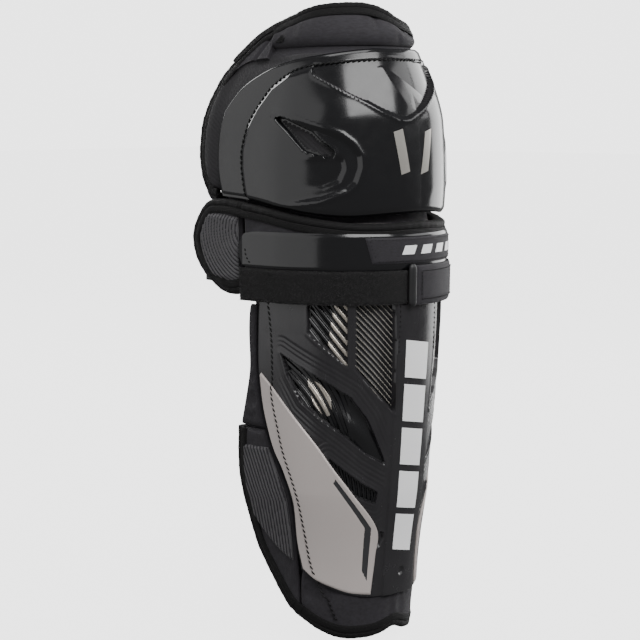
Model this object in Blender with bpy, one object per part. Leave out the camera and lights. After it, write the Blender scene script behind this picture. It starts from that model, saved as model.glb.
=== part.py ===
"""Hockey shin guard for a right leg, built as separate padded, moulded and sewn pieces.

Front faces -Y, the outer (lateral) side faces -X, the leg comes out through +Y, +Z is up.
Every piece follows one leg form.  A place on the form is (angle, height): the angle in degrees
from the front centre line, positive toward the outer side, and the height in metres.
"""
import math

import bmesh
import bpy
from mathutils import Vector

# Leg form: height and radius of the outer face of the hard shells, from ankle to thigh.
FORM = [
    (-0.02, 0.056), (0.0, 0.057), (0.04, 0.060), (0.08, 0.063), (0.13, 0.070), (0.20, 0.076),
    (0.26, 0.080), (0.30, 0.081), (0.36, 0.0815), (0.40, 0.081), (0.43, 0.079), (0.45, 0.075),
    (0.47, 0.069), (0.49, 0.061), (0.51, 0.053), (0.54, 0.044),
]
SIDE_CURL = 0.07          # how far the straight sides lean in behind the leg centre

GAP = 0.0004              # clearance between neighbouring pieces
SHELL = 0.003             # wall of the moulded plastic shells
FLANGE_STEP = 0.0012      # drop from the knee cup face to its sewn flange
BINDING_HALF_WIDTH = 0.0034

# Radial layers, measured outward from the face of the hard shells.
KNEE_PAD_LAYER = (-0.0150, -0.0052)
KNEE_RING_LAYER = (-0.0240, -0.0156)
FLAP_LAYER = (-0.0120, -0.0020)
WRAP_LAYER = (-0.0100, 0.0015)
BAND_LAYER = (0.0019, 0.0038)
LABEL_LAYER = (0.0042, 0.0050)
STRAP_LAYER = (0.0019, 0.0036)
TAB_LAYER = (0.0050, 0.0068)
HOOK_LAYER = (0.0040, 0.0046)
WINDOW_LAYER = (-0.0050, -0.0034)
POD_LAYER = (-0.0030, -0.0004)
FOAM_LAYER = (-0.0084, -0.0058)
LINER_LAYER = (-0.0170, -0.0088)
BUMPER_LAYER = (-0.0084, -0.0034)
PRINT_LAYER = (0.0004, 0.0010)
SIDE_LAYER = (0.0006, 0.0014)

# Half outlines, from the front centre line round to the rear edge: (angle, height).
CUP_LOWER = [(0, 0.356), (20, 0.355), (45, 0.353), (66, 0.355), (89, 0.360), (114, 0.365), (136, 0.367)]
CUP_UPPER = [(0, 0.486), (30, 0.486), (67, 0.481), (96, 0.475), (115, 0.466), (128, 0.455), (137, 0.438)]
CUP_REAR = [(136, 0.367), (140, 0.385), (141, 0.405), (140, 0.424), (137, 0.438)]
PAD_LOWER = [(0, 0.362), (45, 0.360), (80, 0.364), (114, 0.370), (147, 0.371)]
PAD_UPPER = [(0, 0.4860), (60, 0.4855), (104, 0.4845), (122, 0.4845), (134, 0.4825), (143, 0.4760)]
PAD_REAR = [(147, 0.371), (153, 0.386), (155.5, 0.404), (155, 0.428), (151, 0.455), (143, 0.476)]
RING_LOWER = [(0, 0.402), (56, 0.402)]
RING_UPPER = [(0, 0.462), (52, 0.458)]
VENT = [(93, 0.4315), (85, 0.4305), (67, 0.4205), (62, 0.4140), (53.5, 0.4050)]
VENT_LOWER = [(91, 0.4290), (82, 0.4195), (71.5, 0.4050), (66, 0.4025), (56, 0.3990)]

FLAP_LOWER = [(-112, 0.4878), (-60, 0.4888), (0, 0.4892), (60, 0.4888), (118, 0.4878)]
FLAP_UPPER = [(-112, 0.4955), (-80, 0.4975), (-50, 0.4995), (-14, 0.5055), (0, 0.5100),
              (18, 0.5155), (38, 0.5175), (73, 0.5155), (100, 0.5085), (118, 0.5020)]

WRAP_LOWER = [(0, 0.2995), (60, 0.2995), (116, 0.2995)]
WRAP_UPPER = [(0, 0.3425), (28, 0.3415), (48, 0.3425), (73, 0.3470), (98, 0.3530), (116, 0.3560)]
TONGUE_LOWER = [(0, 0.330), (96, 0.332)]
TONGUE_UPPER = [(0, 0.392), (50, 0.390), (88, 0.382)]
BAND_LOWER = [(0, 0.3114), (60, 0.3114), (108, 0.3118), (114, 0.3145)]
BAND_UPPER = [(0, 0.3395), (60, 0.3405), (106, 0.3400), (114, 0.3350)]
BAND_REAR = [(114, 0.3145), (117, 0.3195), (117.5, 0.3250), (117, 0.3300), (114, 0.3350)]
LABEL_LOWER = [(33, 0.3165), (-5, 0.3165), (-39, 0.3165)]
LABEL_UPPER = [(37, 0.3370), (0, 0.3370), (-43, 0.3370)]

WING_FRONT_ANGLE = 118.5
WING_LOWER = [(118.5, 0.2960), (126, 0.2935), (134, 0.2950), (141, 0.2995)]
WING_UPPER = [(118.5, 0.3560), (128, 0.3580), (137, 0.3585), (146, 0.3570)]
WING_REAR = [(141, 0.2995), (151, 0.3090), (157, 0.3200), (159, 0.3330), (154, 0.3470), (146, 0.3570)]
INNER_WING_LOWER = [(118.5, 0.3200), (126, 0.3190), (134, 0.3200), (140, 0.3230)]
INNER_WING_UPPER = [(118.5, 0.3560), (126, 0.3575), (134, 0.3575), (141, 0.3555)]
INNER_WING_REAR = [(140, 0.3230), (146, 0.3300), (149, 0.3390), (147, 0.3490), (141, 0.3555)]

STRAP_HEIGHT = (0.2840, 0.3108)
STRAP_ANGLES = (-24, 117)
TAB_ANGLES = (-50, 12)
TAB_HEIGHT = (0.2830, 0.3145)

SHIN_UPPER = [(0, 0.2985), (60, 0.2985), (103, 0.2985)]
SHIN_REAR = [(82, 0.066), (85, 0.090), (85.5, 0.122), (92, 0.146), (99, 0.163), (103, 0.180),
             (106, 0.200), (107, 0.228), (105.5, 0.260), (103, 0.2985)]
SHIN_LOWER = [(0, 0.0445), (14, 0.0440), (28, 0.0440), (43, 0.0465), (56, 0.0510), (70, 0.0575), (82, 0.066)]
LINER_UPPER = [(0, 0.2975), (60, 0.2975), (104, 0.2975)]
LINER_LOWER = [(0, 0.040), (40, 0.036), (80, 0.052), (96, 0.072)]
LINER_REAR = [(96, 0.072), (102, 0.100), (106, 0.150), (110, 0.200), (112, 0.250), (104, 0.2975)]
FOAM_UPPER = [(0, 0.290), (60, 0.290), (98, 0.290)]
FOAM_LOWER = [(0, 0.056), (40, 0.056), (76, 0.074)]
FOAM_REAR = [(76, 0.074), (80, 0.120), (96, 0.185), (100, 0.240), (98, 0.290)]
BUMPER_UPPER = [(0, 0.053), (28, 0.0530), (56, 0.0580), (80, 0.0700)]
BUMPER_LOWER = [(0, 0.0215), (20, 0.0165), (38, 0.0150), (52, 0.0160), (68, 0.0215), (84, 0.0310)]
BUMPER_REAR = [(84, 0.0310), (84, 0.0450), (83, 0.0580), (80, 0.0700)]

WINDOWS = [
    ([(69, 0.2610), (58, 0.2480), (46, 0.2345)], [(69, 0.2810), (58, 0.2810), (46, 0.2810)], 4),
    ([(41.5, 0.2325), (30, 0.2140), (16, 0.1960)], [(42, 0.2810), (30, 0.2810), (18, 0.2810)], 4),
    ([(86, 0.2400), (75, 0.2060), (62, 0.1915), (48, 0.1785), (34, 0.1640), (24, 0.1550)],
     [(86.5, 0.2435), (70, 0.2310), (57, 0.2215), (44, 0.2105), (33, 0.1915), (23, 0.1620)], 4),
    ([(57, 0.1570), (48.5, 0.1400), (40, 0.1280), (26.5, 0.1215)],
     [(58, 0.1615), (46.5, 0.1500), (36, 0.1400), (25, 0.1320)], 3),
]
POD_LOWER = [(80, 0.2290), (66, 0.2010), (52, 0.1870), (42, 0.1790)]
POD_UPPER = [(81, 0.2330), (68, 0.2250), (54, 0.2130), (43, 0.2010)]
SCREEN_LOWER = [(80, 0.2100), (60, 0.1480), (44, 0.1200), (16, 0.1150)]
SCREEN_UPPER = [(84, 0.2880), (60, 0.2890), (40, 0.2890), (12, 0.2890)]
SCREEN_REAR = [(80, 0.2100), (90, 0.2350), (88, 0.2600), (84, 0.2880)]
SIDE_FRONT = [(27, 0.0465), (24, 0.0790), (24, 0.1010), (42, 0.1310), (54, 0.1510),
              (67, 0.1740), (83, 0.1980), (95, 0.2150), (104, 0.2260)]
SIDE_REAR = [(80, 0.0670), (83.5, 0.0900), (84, 0.1225), (90.5, 0.1465), (97.5, 0.1635),
             (101.5, 0.1800), (104.5, 0.2000), (105.5, 0.2240)]
SIDE_LOWER = [(27, 0.0465), (43, 0.0485), (56, 0.0530), (70, 0.0590), (80, 0.0670)]
CALF_FRONT = [(88.5, 0.0310), (88.5, 0.0900), (89.5, 0.1225), (96, 0.1440), (102.5, 0.1610), (106, 0.1740)]
CALF_REAR = [(97, 0.0400), (111, 0.0600), (123, 0.0810), (128, 0.1050), (130, 0.1250),
             (130.5, 0.1460), (127, 0.1740)]
CALF_SIDE_FRONT = [(106, 0.1800), (108.5, 0.2000), (109.5, 0.2280), (108.5, 0.2600), (107, 0.2810)]
CALF_SIDE_REAR = [(126, 0.1800), (120, 0.2000), (116, 0.2280), (115, 0.2600), (113, 0.2810)]
CALF_LAYER = (-0.0080, -0.0014)
KNIT_RISE = 0.0013        # knit face panels sewn on the wings

BLOCK_COUNT = 5
BLOCK_LOWEST = 0.079
BLOCK_PITCH = 0.0355
BLOCK_HEIGHT = 0.030
BLOCK_SLANT = 0.004
BLOCK_ANGLES = (-9, 11)
RIVET_HEIGHT = 0.0635
RIVET_RADIUS = 0.0034

# Plan path of the elastic part of the strap, from the outer side round the back to the tab.
# It is sewn higher on the outer side, under the wing, and comes level with the tab behind the leg.
ELASTIC_THICKNESS = 0.0018
ELASTIC_RISE = 0.018
ELASTIC_LEVEL_FROM = 26   # cross-section of the path where the elastic becomes level
ELASTIC_PATH = [
    (-0.0684, 0.026), (-0.0678, 0.047), (-0.0658, 0.071), (-0.0608, 0.094), (-0.0470, 0.110),
    (-0.0240, 0.1165), (0.0, 0.118), (0.0260, 0.1165), (0.0500, 0.109), (0.0680, 0.093),
    (0.0785, 0.068), (0.0834, 0.044), (0.0850, 0.022),
]
ELASTIC_FRONT_ANGLES = (-97, -54)

BLACK_GLOSS = ((0.010, 0.010, 0.012), 0.12)
DARK_SHELL = ((0.022, 0.022, 0.025), 0.22)
CHARCOAL = ((0.030, 0.030, 0.034), 0.80)
BLACK_TAPE = ((0.008, 0.008, 0.009), 0.75)
GREY_KNIT = ((0.075, 0.077, 0.083), 0.85)
TAUPE = ((0.300, 0.262, 0.250), 0.50)
WHITE = ((0.800, 0.800, 0.800), 0.45)
SILVER = ((0.480, 0.470, 0.450), 0.30)
FOAM_GREY = ((0.120, 0.120, 0.125), 0.90)


def smooth(values, position):
    """Catmull-Rom value at a position along a list of equally spaced tuples."""
    last = len(values) - 1
    index = min(int(position), last - 1)
    t = position - index
    before = values[max(index - 1, 0)]
    start = values[index]
    end = values[index + 1]
    after = values[min(index + 2, last)]
    result = []
    for a, b, c, d in zip(before, start, end, after):
        result.append(0.5 * (2 * b + (c - a) * t + (2 * a - 5 * b + 4 * c - d) * t ** 2
                             + (3 * b - a - 3 * c + d) * t ** 3))
    return tuple(result)


def form_radius(height):
    """Radius of the leg form at a height."""
    if height <= FORM[0][0]:
        return FORM[0][1]
    for index in range(len(FORM) - 1):
        low, high = FORM[index][0], FORM[index + 1][0]
        if height <= high:
            return smooth([(row[1],) for row in FORM], index + (height - low) / (high - low))[0]
    return FORM[-1][1]


def base_point(angle, height):
    """Point on the leg form: round in front, straight sides that lean in behind."""
    radius = form_radius(height)
    side = -1.0 if angle >= 0 else 1.0
    turn = math.radians(abs(angle))
    if abs(angle) <= 90:
        return Vector((side * radius * math.sin(turn), -radius * math.cos(turn), height))
    back = turn - math.pi / 2
    return Vector((side * radius * (1 - SIDE_CURL * back * back), radius * back, height))


def form_normal(angle, height):
    """Outward normal of the leg form."""
    across = base_point(angle + 0.5, height) - base_point(angle - 0.5, height)
    along = base_point(angle, height + 0.001) - base_point(angle, height - 0.001)
    return along.cross(across).normalized()


def place(angle, height, outward):
    """Point a given distance outside the leg form."""
    return base_point(angle, height) + form_normal(angle, height) * outward


def resample(curve, count):
    """Evenly spaced points on a smooth curve through (angle, height) points."""
    fine = [smooth(curve, (len(curve) - 1) * step / 160) for step in range(161)]
    lengths = [0.0]
    for first, second in zip(fine, fine[1:]):
        lengths.append(lengths[-1] + math.hypot((second[0] - first[0]) * 0.0014, second[1] - first[1]))
    points = []
    cursor = 0
    for step in range(count):
        target = lengths[-1] * step / (count - 1)
        while cursor < 159 and lengths[cursor + 1] < target:
            cursor += 1
        span = lengths[cursor + 1] - lengths[cursor]
        t = (target - lengths[cursor]) / span if span else 0.0
        first, second = fine[cursor], fine[cursor + 1]
        points.append((first[0] + (second[0] - first[0]) * t, first[1] + (second[1] - first[1]) * t))
    return points


def mirrored(half):
    """Full outline from the inner side to the outer side, given the outer half."""
    return [(-angle, height) for angle, height in reversed(half[1:])] + list(half)


def flipped(curve):
    """The same outline on the inner side of the leg."""
    return [(-angle, height) for angle, height in curve]


def sided(curve, sign):
    """The outline on the outer side for sign +1, on the inner side for sign -1."""
    return [(sign * angle, height) for angle, height in curve]


def patch(lower, upper, columns, rows, left=None, right=None):
    """Grid of (angle, height) filling four boundary curves."""
    low = resample(lower, columns)
    high = resample(upper, columns)
    start = resample(left or [lower[0], upper[0]], rows)
    end = resample(right or [lower[-1], upper[-1]], rows)
    grid = []
    for row in range(rows):
        v = row / (rows - 1)
        line = []
        for column in range(columns):
            u = column / (columns - 1)
            point = []
            for axis in range(2):
                ruled = (1 - v) * low[column][axis] + v * high[column][axis]
                swept = (1 - u) * start[row][axis] + u * end[row][axis]
                corners = ((1 - u) * (1 - v) * low[0][axis] + u * (1 - v) * low[-1][axis]
                           + (1 - u) * v * high[0][axis] + u * v * high[-1][axis])
                point.append(ruled + swept - corners)
            line.append(tuple(point))
        grid.append(line)
    return grid


def add_slab(mesh, grid, layer, relief=None):
    """Add one closed slab between two distances from the leg form."""
    inner, outer = layer
    faces = []
    for distance, side in ((inner, 0), (outer, 1)):
        rows = []
        for line in grid:
            row = []
            for angle, height in line:
                extra = relief(angle, height, side) if relief else 0.0
                row.append(mesh.verts.new(place(angle, height, distance + extra)))
            rows.append(row)
        faces.append(rows)
    back, front = faces
    rows, columns = len(grid), len(grid[0])
    for row in range(rows - 1):
        for column in range(columns - 1):
            for sheet in (back, front):
                mesh.faces.new((sheet[row][column], sheet[row][column + 1],
                                sheet[row + 1][column + 1], sheet[row + 1][column]))
    rim = [(0, column) for column in range(columns)]
    rim += [(row, columns - 1) for row in range(1, rows)]
    rim += [(rows - 1, column) for column in range(columns - 2, -1, -1)]
    rim += [(row, 0) for row in range(rows - 2, 0, -1)]
    for (r0, c0), (r1, c1) in zip(rim, rim[1:] + rim[:1]):
        mesh.faces.new((back[r0][c0], back[r1][c1], front[r1][c1], front[r0][c0]))


def finish(name, mesh, look, smooth_shade=True):
    """Turn a bmesh into a named object with its own material."""
    bmesh.ops.recalc_face_normals(mesh, faces=mesh.faces)
    data = bpy.data.meshes.new(name)
    mesh.to_mesh(data)
    mesh.free()
    for face in data.polygons:
        face.use_smooth = smooth_shade
    thing = bpy.data.objects.new(name, data)
    bpy.context.scene.collection.objects.link(thing)
    colour, roughness = look
    material = bpy.data.materials.new(name + "_material")
    material.use_nodes = True
    shader = material.node_tree.nodes["Principled BSDF"]
    shader.inputs["Base Color"].default_value = (*colour, 1.0)
    shader.inputs["Roughness"].default_value = roughness
    data.materials.append(material)
    return thing


def panel(name, grid, layer, look, relief=None):
    """One closed panel that follows the leg form."""
    mesh = bmesh.new()
    add_slab(mesh, grid, layer, relief)
    return finish(name, mesh, look)


def sweep(name, centres, acrosses, outs, half_width, half_depth, look, closed=False, sides=6):
    """Rounded strip swept along a line of centres."""
    mesh = bmesh.new()
    rings = []
    for centre, across, out in zip(centres, acrosses, outs):
        ring = []
        for step in range(sides):
            turn = 2 * math.pi * step / sides
            ring.append(mesh.verts.new(centre + across * (half_width * math.cos(turn))
                                       + out * (half_depth * math.sin(turn))))
        rings.append(ring)
    pairs = list(zip(rings, rings[1:] + rings[:1])) if closed else list(zip(rings, rings[1:]))
    for first, second in pairs:
        for step in range(sides):
            after = (step + 1) % sides
            mesh.faces.new((first[step], first[after], second[after], second[step]))
    if not closed:
        mesh.faces.new(rings[0])
        mesh.faces.new(list(reversed(rings[-1])))
    return finish(name, mesh, look)


def binding(name, edge, layer, look, count, turn):
    """Edge tape beside the edge of a padded panel.  turn is +1 or -1: the side the tape lies on."""
    middle = (layer[0] + layer[1]) / 2
    points = resample(edge, count)
    spots = [place(angle, height, middle) for angle, height in points]
    centres = []
    acrosses = []
    outs = []
    for index, (angle, height) in enumerate(points):
        ahead = spots[min(index + 1, count - 1)]
        behind = spots[max(index - 1, 0)]
        out = form_normal(angle, height)
        across = out.cross(ahead - behind).normalized() * turn
        centres.append(spots[index] + across * (BINDING_HALF_WIDTH + GAP))
        acrosses.append(across)
        outs.append(out)
    depth = (layer[1] - layer[0]) / 2
    return sweep(name, centres, acrosses, outs, BINDING_HALF_WIDTH, depth, look)


def cut(target, cutter_mesh, name):
    """Cut openings with a hidden cutter object."""
    cutter = finish(name, cutter_mesh, BLACK_TAPE)
    cutter.hide_render = True
    cutter.display_type = "WIRE"
    modifier = target.modifiers.new("openings", "BOOLEAN")
    modifier.operation = "DIFFERENCE"
    modifier.solver = "EXACT"
    modifier.object = cutter


def ramp(low, high, value):
    """Smooth step from 0 at low to 1 at high."""
    t = min(max((value - low) / (high - low), 0.0), 1.0)
    return t * t * (3 - 2 * t)


def cup_relief(angle, height, side):
    """Sewn flange round the rear and top of the knee cup, and the sunk facet above the knee."""
    if side == 0:
        return 0.0
    rear = ramp(116, 120, abs(angle) + max(0.0, (height - 0.405)) * 420)
    top = ramp(0.4745, 0.4785, height + max(0.0, abs(angle) - 60) * 0.00015)
    flange = max(rear, top)
    edge = 0.430 + 0.00055 * abs(angle - 12)
    facet = ramp(edge, edge + 0.003, height) * (1 - ramp(46, 60, abs(angle - 12))) * (1 - flange)
    return -FLANGE_STEP * flange - 0.0010 * facet


def shin_relief(angle, height, side):
    """Raised flat ridge down the front of the shin shell."""
    if side == 0:
        return 0.0
    return 0.0012 * (1 - ramp(13, 17, abs(angle - 1)))


def tongue_relief(angle, height, side):
    """The inner tongue steps in from the wrap pad to clear the knee pad."""
    return -0.0082 * ramp(0.344, 0.358, height)


def build_knee():
    cup = panel("knee_cup_shell", patch(mirrored(CUP_LOWER), mirrored(CUP_UPPER), 41, 13,
                                        flipped(CUP_REAR), CUP_REAR), (-SHELL, 0.0), BLACK_GLOSS, cup_relief)
    vents = bmesh.new()
    add_slab(vents, patch(VENT_LOWER, VENT, 7, 2), (-0.010, 0.008))
    add_slab(vents, patch(flipped(VENT_LOWER), flipped(VENT), 7, 2), (-0.010, 0.008))
    cut(cup, vents, "cutter_knee_vents")
    for label, sign in (("outer", 1), ("inner", -1)):
        sill = [(sign * 96, 0.3980), (sign * 50, 0.3930)]
        grid = patch(sill, [(sign * 98, 0.4350), (sign * 50, 0.4240)], 8, 4)
        panel("knee_vent_screen_" + label, grid, (-0.0048, -0.0034), CHARCOAL)
    for label, start, lean in (("left", 20, -4.5), ("right", -4, 4.5)):
        foot = [(start + lean, 0.386), (start + lean - 6, 0.386)]
        grid = patch(foot, [(start, 0.422), (start - 6, 0.422)], 2, 6)
        panel("knee_bar_" + label, grid, PRINT_LAYER, SILVER)
    panel("knee_pad", patch(mirrored(PAD_LOWER), mirrored(PAD_UPPER), 41, 10, flipped(PAD_REAR), PAD_REAR),
          KNEE_PAD_LAYER, CHARCOAL)
    for label, sign in (("outer", 1), ("inner", -1)):
        edge = PAD_REAR[:-1] + [(147.5, 0.4675), (143, 0.4760)]
        if sign < 0:
            edge = flipped(edge)
        binding("knee_pad_binding_" + label, edge, KNEE_PAD_LAYER, BLACK_TAPE, 28, sign)
    ring = panel("knee_ring_pad", patch(mirrored(RING_LOWER), mirrored(RING_UPPER), 17, 6), KNEE_RING_LAYER,
                 FOAM_GREY)
    hole = bmesh.new()
    opening = patch([(-26, 0.416), (0, 0.414), (26, 0.416)], [(-24, 0.446), (0, 0.448), (24, 0.446)], 7, 2)
    add_slab(hole, opening, (-0.030, -0.008))
    cut(ring, hole, "cutter_knee_ring")


def build_flap():
    panel("thigh_flap", patch(FLAP_LOWER, FLAP_UPPER, 29, 5), FLAP_LAYER, CHARCOAL)
    binding("thigh_flap_binding", FLAP_UPPER, FLAP_LAYER, BLACK_TAPE, 32, -1)


def build_wrap():
    panel("wrap_pad", patch(mirrored(WRAP_LOWER), mirrored(WRAP_UPPER), 33, 5), WRAP_LAYER, CHARCOAL)
    binding("wrap_binding", mirrored(WRAP_UPPER), WRAP_LAYER, BLACK_TAPE, 40, -1)
    panel("knee_tongue", patch(mirrored(TONGUE_LOWER), mirrored(TONGUE_UPPER), 27, 8), (-0.0122, -0.0104),
          GREY_KNIT, tongue_relief)
    plate = patch(mirrored(BAND_LOWER), mirrored(BAND_UPPER), 37, 4, flipped(BAND_REAR), BAND_REAR)
    panel("tendon_band", plate, BAND_LAYER, BLACK_GLOSS)
    panel("band_label", patch(LABEL_LOWER, LABEL_UPPER, 12, 3), LABEL_LAYER, CHARCOAL)


def build_strap():
    low, high = STRAP_HEIGHT
    start, end = STRAP_ANGLES
    panel("strap_loop", patch([(start, low), (end, low)], [(start, high), (end, high)], 23, 2), STRAP_LAYER,
          CHARCOAL)
    path = [smooth(ELASTIC_PATH, (len(ELASTIC_PATH) - 1) * step / 36) for step in range(37)]
    first, last = ELASTIC_FRONT_ANGLES
    for step in range(8):
        angle = first + (last - first) * step / 7
        spot = place(angle, 0.297, (STRAP_LAYER[0] + STRAP_LAYER[1]) / 2 + 0.0006)
        path.append((spot.x, spot.y))
    mesh = bmesh.new()
    rings = []
    for index, (x, y) in enumerate(path):
        ahead = path[min(index + 1, len(path) - 1)]
        behind = path[max(index - 1, 0)]
        along = Vector((ahead[0] - behind[0], ahead[1] - behind[1], 0)).normalized()
        side = Vector((along.y, -along.x, 0)) * (ELASTIC_THICKNESS / 2)
        centre = Vector((x, y, ELASTIC_RISE * (1 - ramp(0, ELASTIC_LEVEL_FROM, index))))
        rings.append([mesh.verts.new(centre + side * sign + Vector((0, 0, height)))
                      for sign, height in ((1, low), (1, high), (-1, high), (-1, low))])
    for near, far in zip(rings, rings[1:]):
        for corner in range(4):
            after = (corner + 1) % 4
            mesh.faces.new((near[corner], near[after], far[after], far[corner]))
    mesh.faces.new(rings[0])
    mesh.faces.new(list(reversed(rings[-1])))
    finish("strap_elastic", mesh, CHARCOAL)


def build_tab():
    low, high = TAB_HEIGHT
    start, end = TAB_ANGLES
    face = patch([(start, low), (end - 5, low)], [(start, high), (end - 5, high)], 10, 3)
    panel("strap_tab", face, TAB_LAYER, CHARCOAL)
    hook_top = [(-20, high - 0.005), (end - 9, high - 0.005)]
    hook = patch([(-20, low + 0.003), (end - 9, low + 0.003)], hook_top, 5, 2)
    panel("strap_tab_hook", hook, HOOK_LAYER, BLACK_TAPE)
    panel("strap_tab_grip", patch([(end - 4.6, low - 0.001), (end, low - 0.001)],
                                  [(end - 4.6, high + 0.001), (end, high + 0.001)], 3, 4),
          (TAB_LAYER[0] - 0.0006, TAB_LAYER[1] + 0.0014), BLACK_TAPE)


def inset_patch(lower, upper, rear, columns, rows, margin):
    """Patch drawn inside another patch, leaving a margin of the unit square all round."""
    grid = patch(lower, upper, 41, 21, None, rear)
    inner = []
    for row in range(rows):
        v = margin + (1 - 2 * margin) * row / (rows - 1)
        line = []
        for column in range(columns):
            u = margin + (1 - 2 * margin) * column / (columns - 1)
            line.append(grid[round(v * 20)][round(u * 40)])
        inner.append(line)
    return inner


def build_wing(label, lower, upper, rear, sign):
    """Padded wing behind the wrap, with a ribbed knit face and a bound edge."""
    layer = (-0.0086, -0.0006)
    edge = sided(lower[:-1] + rear[:-1] + list(reversed(upper)), sign)
    lower, upper, rear = sided(lower, sign), sided(upper, sign), sided(rear, sign)
    panel("wing_pad_" + label, patch(lower, upper, 8, 8, None, rear), layer, CHARCOAL)
    panel("wing_knit_" + label, inset_patch(lower, upper, rear, 7, 7, 0.1), (-0.0002, KNIT_RISE), GREY_KNIT)
    binding("wing_binding_" + label, edge, layer, BLACK_TAPE, 36, sign)


def build_shin():
    shell = panel("shin_shell", patch(mirrored(SHIN_LOWER), mirrored(SHIN_UPPER), 37, 18, flipped(SHIN_REAR),
                                      SHIN_REAR), (-SHELL, 0.0), DARK_SHELL, shin_relief)
    openings = bmesh.new()
    for lower, upper, rows in WINDOWS:
        add_slab(openings, patch(lower, upper, 7, rows), (-0.010, 0.008))
        add_slab(openings, patch(flipped(lower), flipped(upper), 7, rows), (-0.010, 0.008))
    cut(shell, openings, "cutter_shin_windows")
    for label, sign in (("outer", 1), ("inner", -1)):
        screen = patch(sided(SCREEN_LOWER[::-1], sign), sided(SCREEN_UPPER[::-1], sign), 11, 8, None,
                       sided(SCREEN_REAR, sign))
        panel("window_screen_" + label, screen, WINDOW_LAYER, GREY_KNIT)
        pod = patch(sided(POD_LOWER, sign), sided(POD_UPPER, sign), 6, 4)
        panel("vent_pod_" + label, pod, POD_LAYER, BLACK_GLOSS)
        film = patch(sided(SIDE_LOWER, sign), sided([SIDE_FRONT[-1], SIDE_REAR[-1]], sign), 12, 14,
                     sided(SIDE_FRONT, sign), sided(SIDE_REAR, sign))
        panel("side_panel_" + label, film, SIDE_LAYER, TAUPE)
    for index in range(BLOCK_COUNT):
        low = BLOCK_LOWEST + index * BLOCK_PITCH
        first, last = BLOCK_ANGLES
        grid = patch([(first, low), (last, low + BLOCK_SLANT)],
                     [(first, low + BLOCK_HEIGHT), (last, low + BLOCK_HEIGHT + BLOCK_SLANT)], 4, 3)
        panel("front_block_%d" % (index + 1), grid, (0.0016, 0.0021), WHITE)
    centre = place(0, RIVET_HEIGHT, 0.0017)
    out = form_normal(0, RIVET_HEIGHT)
    facing = Vector((0, 0, 1)).rotation_difference(out).to_matrix()
    mesh = bmesh.new()
    bmesh.ops.create_cone(mesh, cap_ends=True, segments=16, radius1=RIVET_RADIUS, radius2=RIVET_RADIUS * 0.8,
                          depth=0.0014)
    bmesh.ops.rotate(mesh, verts=mesh.verts, cent=(0, 0, 0), matrix=facing)
    bmesh.ops.translate(mesh, verts=mesh.verts, vec=centre + out * 0.0008)
    finish("ankle_rivet", mesh, BLACK_TAPE)


def build_lining():
    foam = patch(mirrored(FOAM_LOWER), mirrored(FOAM_UPPER), 29, 10, flipped(FOAM_REAR), FOAM_REAR)
    panel("shin_foam", foam, FOAM_LAYER, FOAM_GREY)
    liner = patch(mirrored(LINER_LOWER), mirrored(LINER_UPPER), 33, 12, flipped(LINER_REAR), LINER_REAR)
    panel("shin_liner", liner, LINER_LAYER, GREY_KNIT)
    bumper = patch(mirrored(BUMPER_LOWER), mirrored(BUMPER_UPPER), 33, 4, flipped(BUMPER_REAR), BUMPER_REAR)
    panel("ankle_bumper", bumper, BUMPER_LAYER, CHARCOAL)
    binding("ankle_binding", mirrored(BUMPER_LOWER), BUMPER_LAYER, BLACK_TAPE, 36, 1)


def build_calf(label, sign):
    """Fixed calf side pad, and below it a bound calf wing with a ribbed knit face."""
    side = patch(sided([CALF_SIDE_FRONT[0], CALF_SIDE_REAR[0]], sign),
                 sided([CALF_SIDE_FRONT[-1], CALF_SIDE_REAR[-1]], sign),
                 4, 10, sided(CALF_SIDE_FRONT, sign), sided(CALF_SIDE_REAR, sign))
    panel("calf_side_" + label, side, CALF_LAYER, CHARCOAL)
    grid = patch(sided([CALF_FRONT[0], CALF_REAR[0]], sign), sided([CALF_FRONT[-1], CALF_REAR[-1]], sign),
                 7, 12, sided(CALF_FRONT, sign), sided(CALF_REAR, sign))
    panel("calf_pad_" + label, grid, CALF_LAYER, CHARCOAL)
    face = [line[1:-1] for line in grid[2:-1]]
    panel("calf_knit_" + label, face, (CALF_LAYER[1] + GAP, CALF_LAYER[1] + GAP + KNIT_RISE), GREY_KNIT)
    binding("calf_binding_" + label, sided(CALF_REAR, sign), CALF_LAYER, BLACK_TAPE, 20, sign)


def main():
    for thing in list(bpy.data.objects):
        bpy.data.objects.remove(thing, do_unlink=True)
    build_knee()
    build_flap()
    build_wrap()
    build_strap()
    build_tab()
    build_wing("outer", WING_LOWER, WING_UPPER, WING_REAR, 1)
    build_wing("inner", INNER_WING_LOWER, INNER_WING_UPPER, INNER_WING_REAR, -1)
    build_shin()
    build_lining()
    build_calf("outer", 1)
    build_calf("inner", -1)


main()
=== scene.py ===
"""Looks of a right-leg hockey shin guard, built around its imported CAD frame.

A place on the guard is (angle, height): degrees from the front centre line, positive toward the
outer side, and metres up the leg.  Distances across the surface are in metres.
"""

import math

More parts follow.
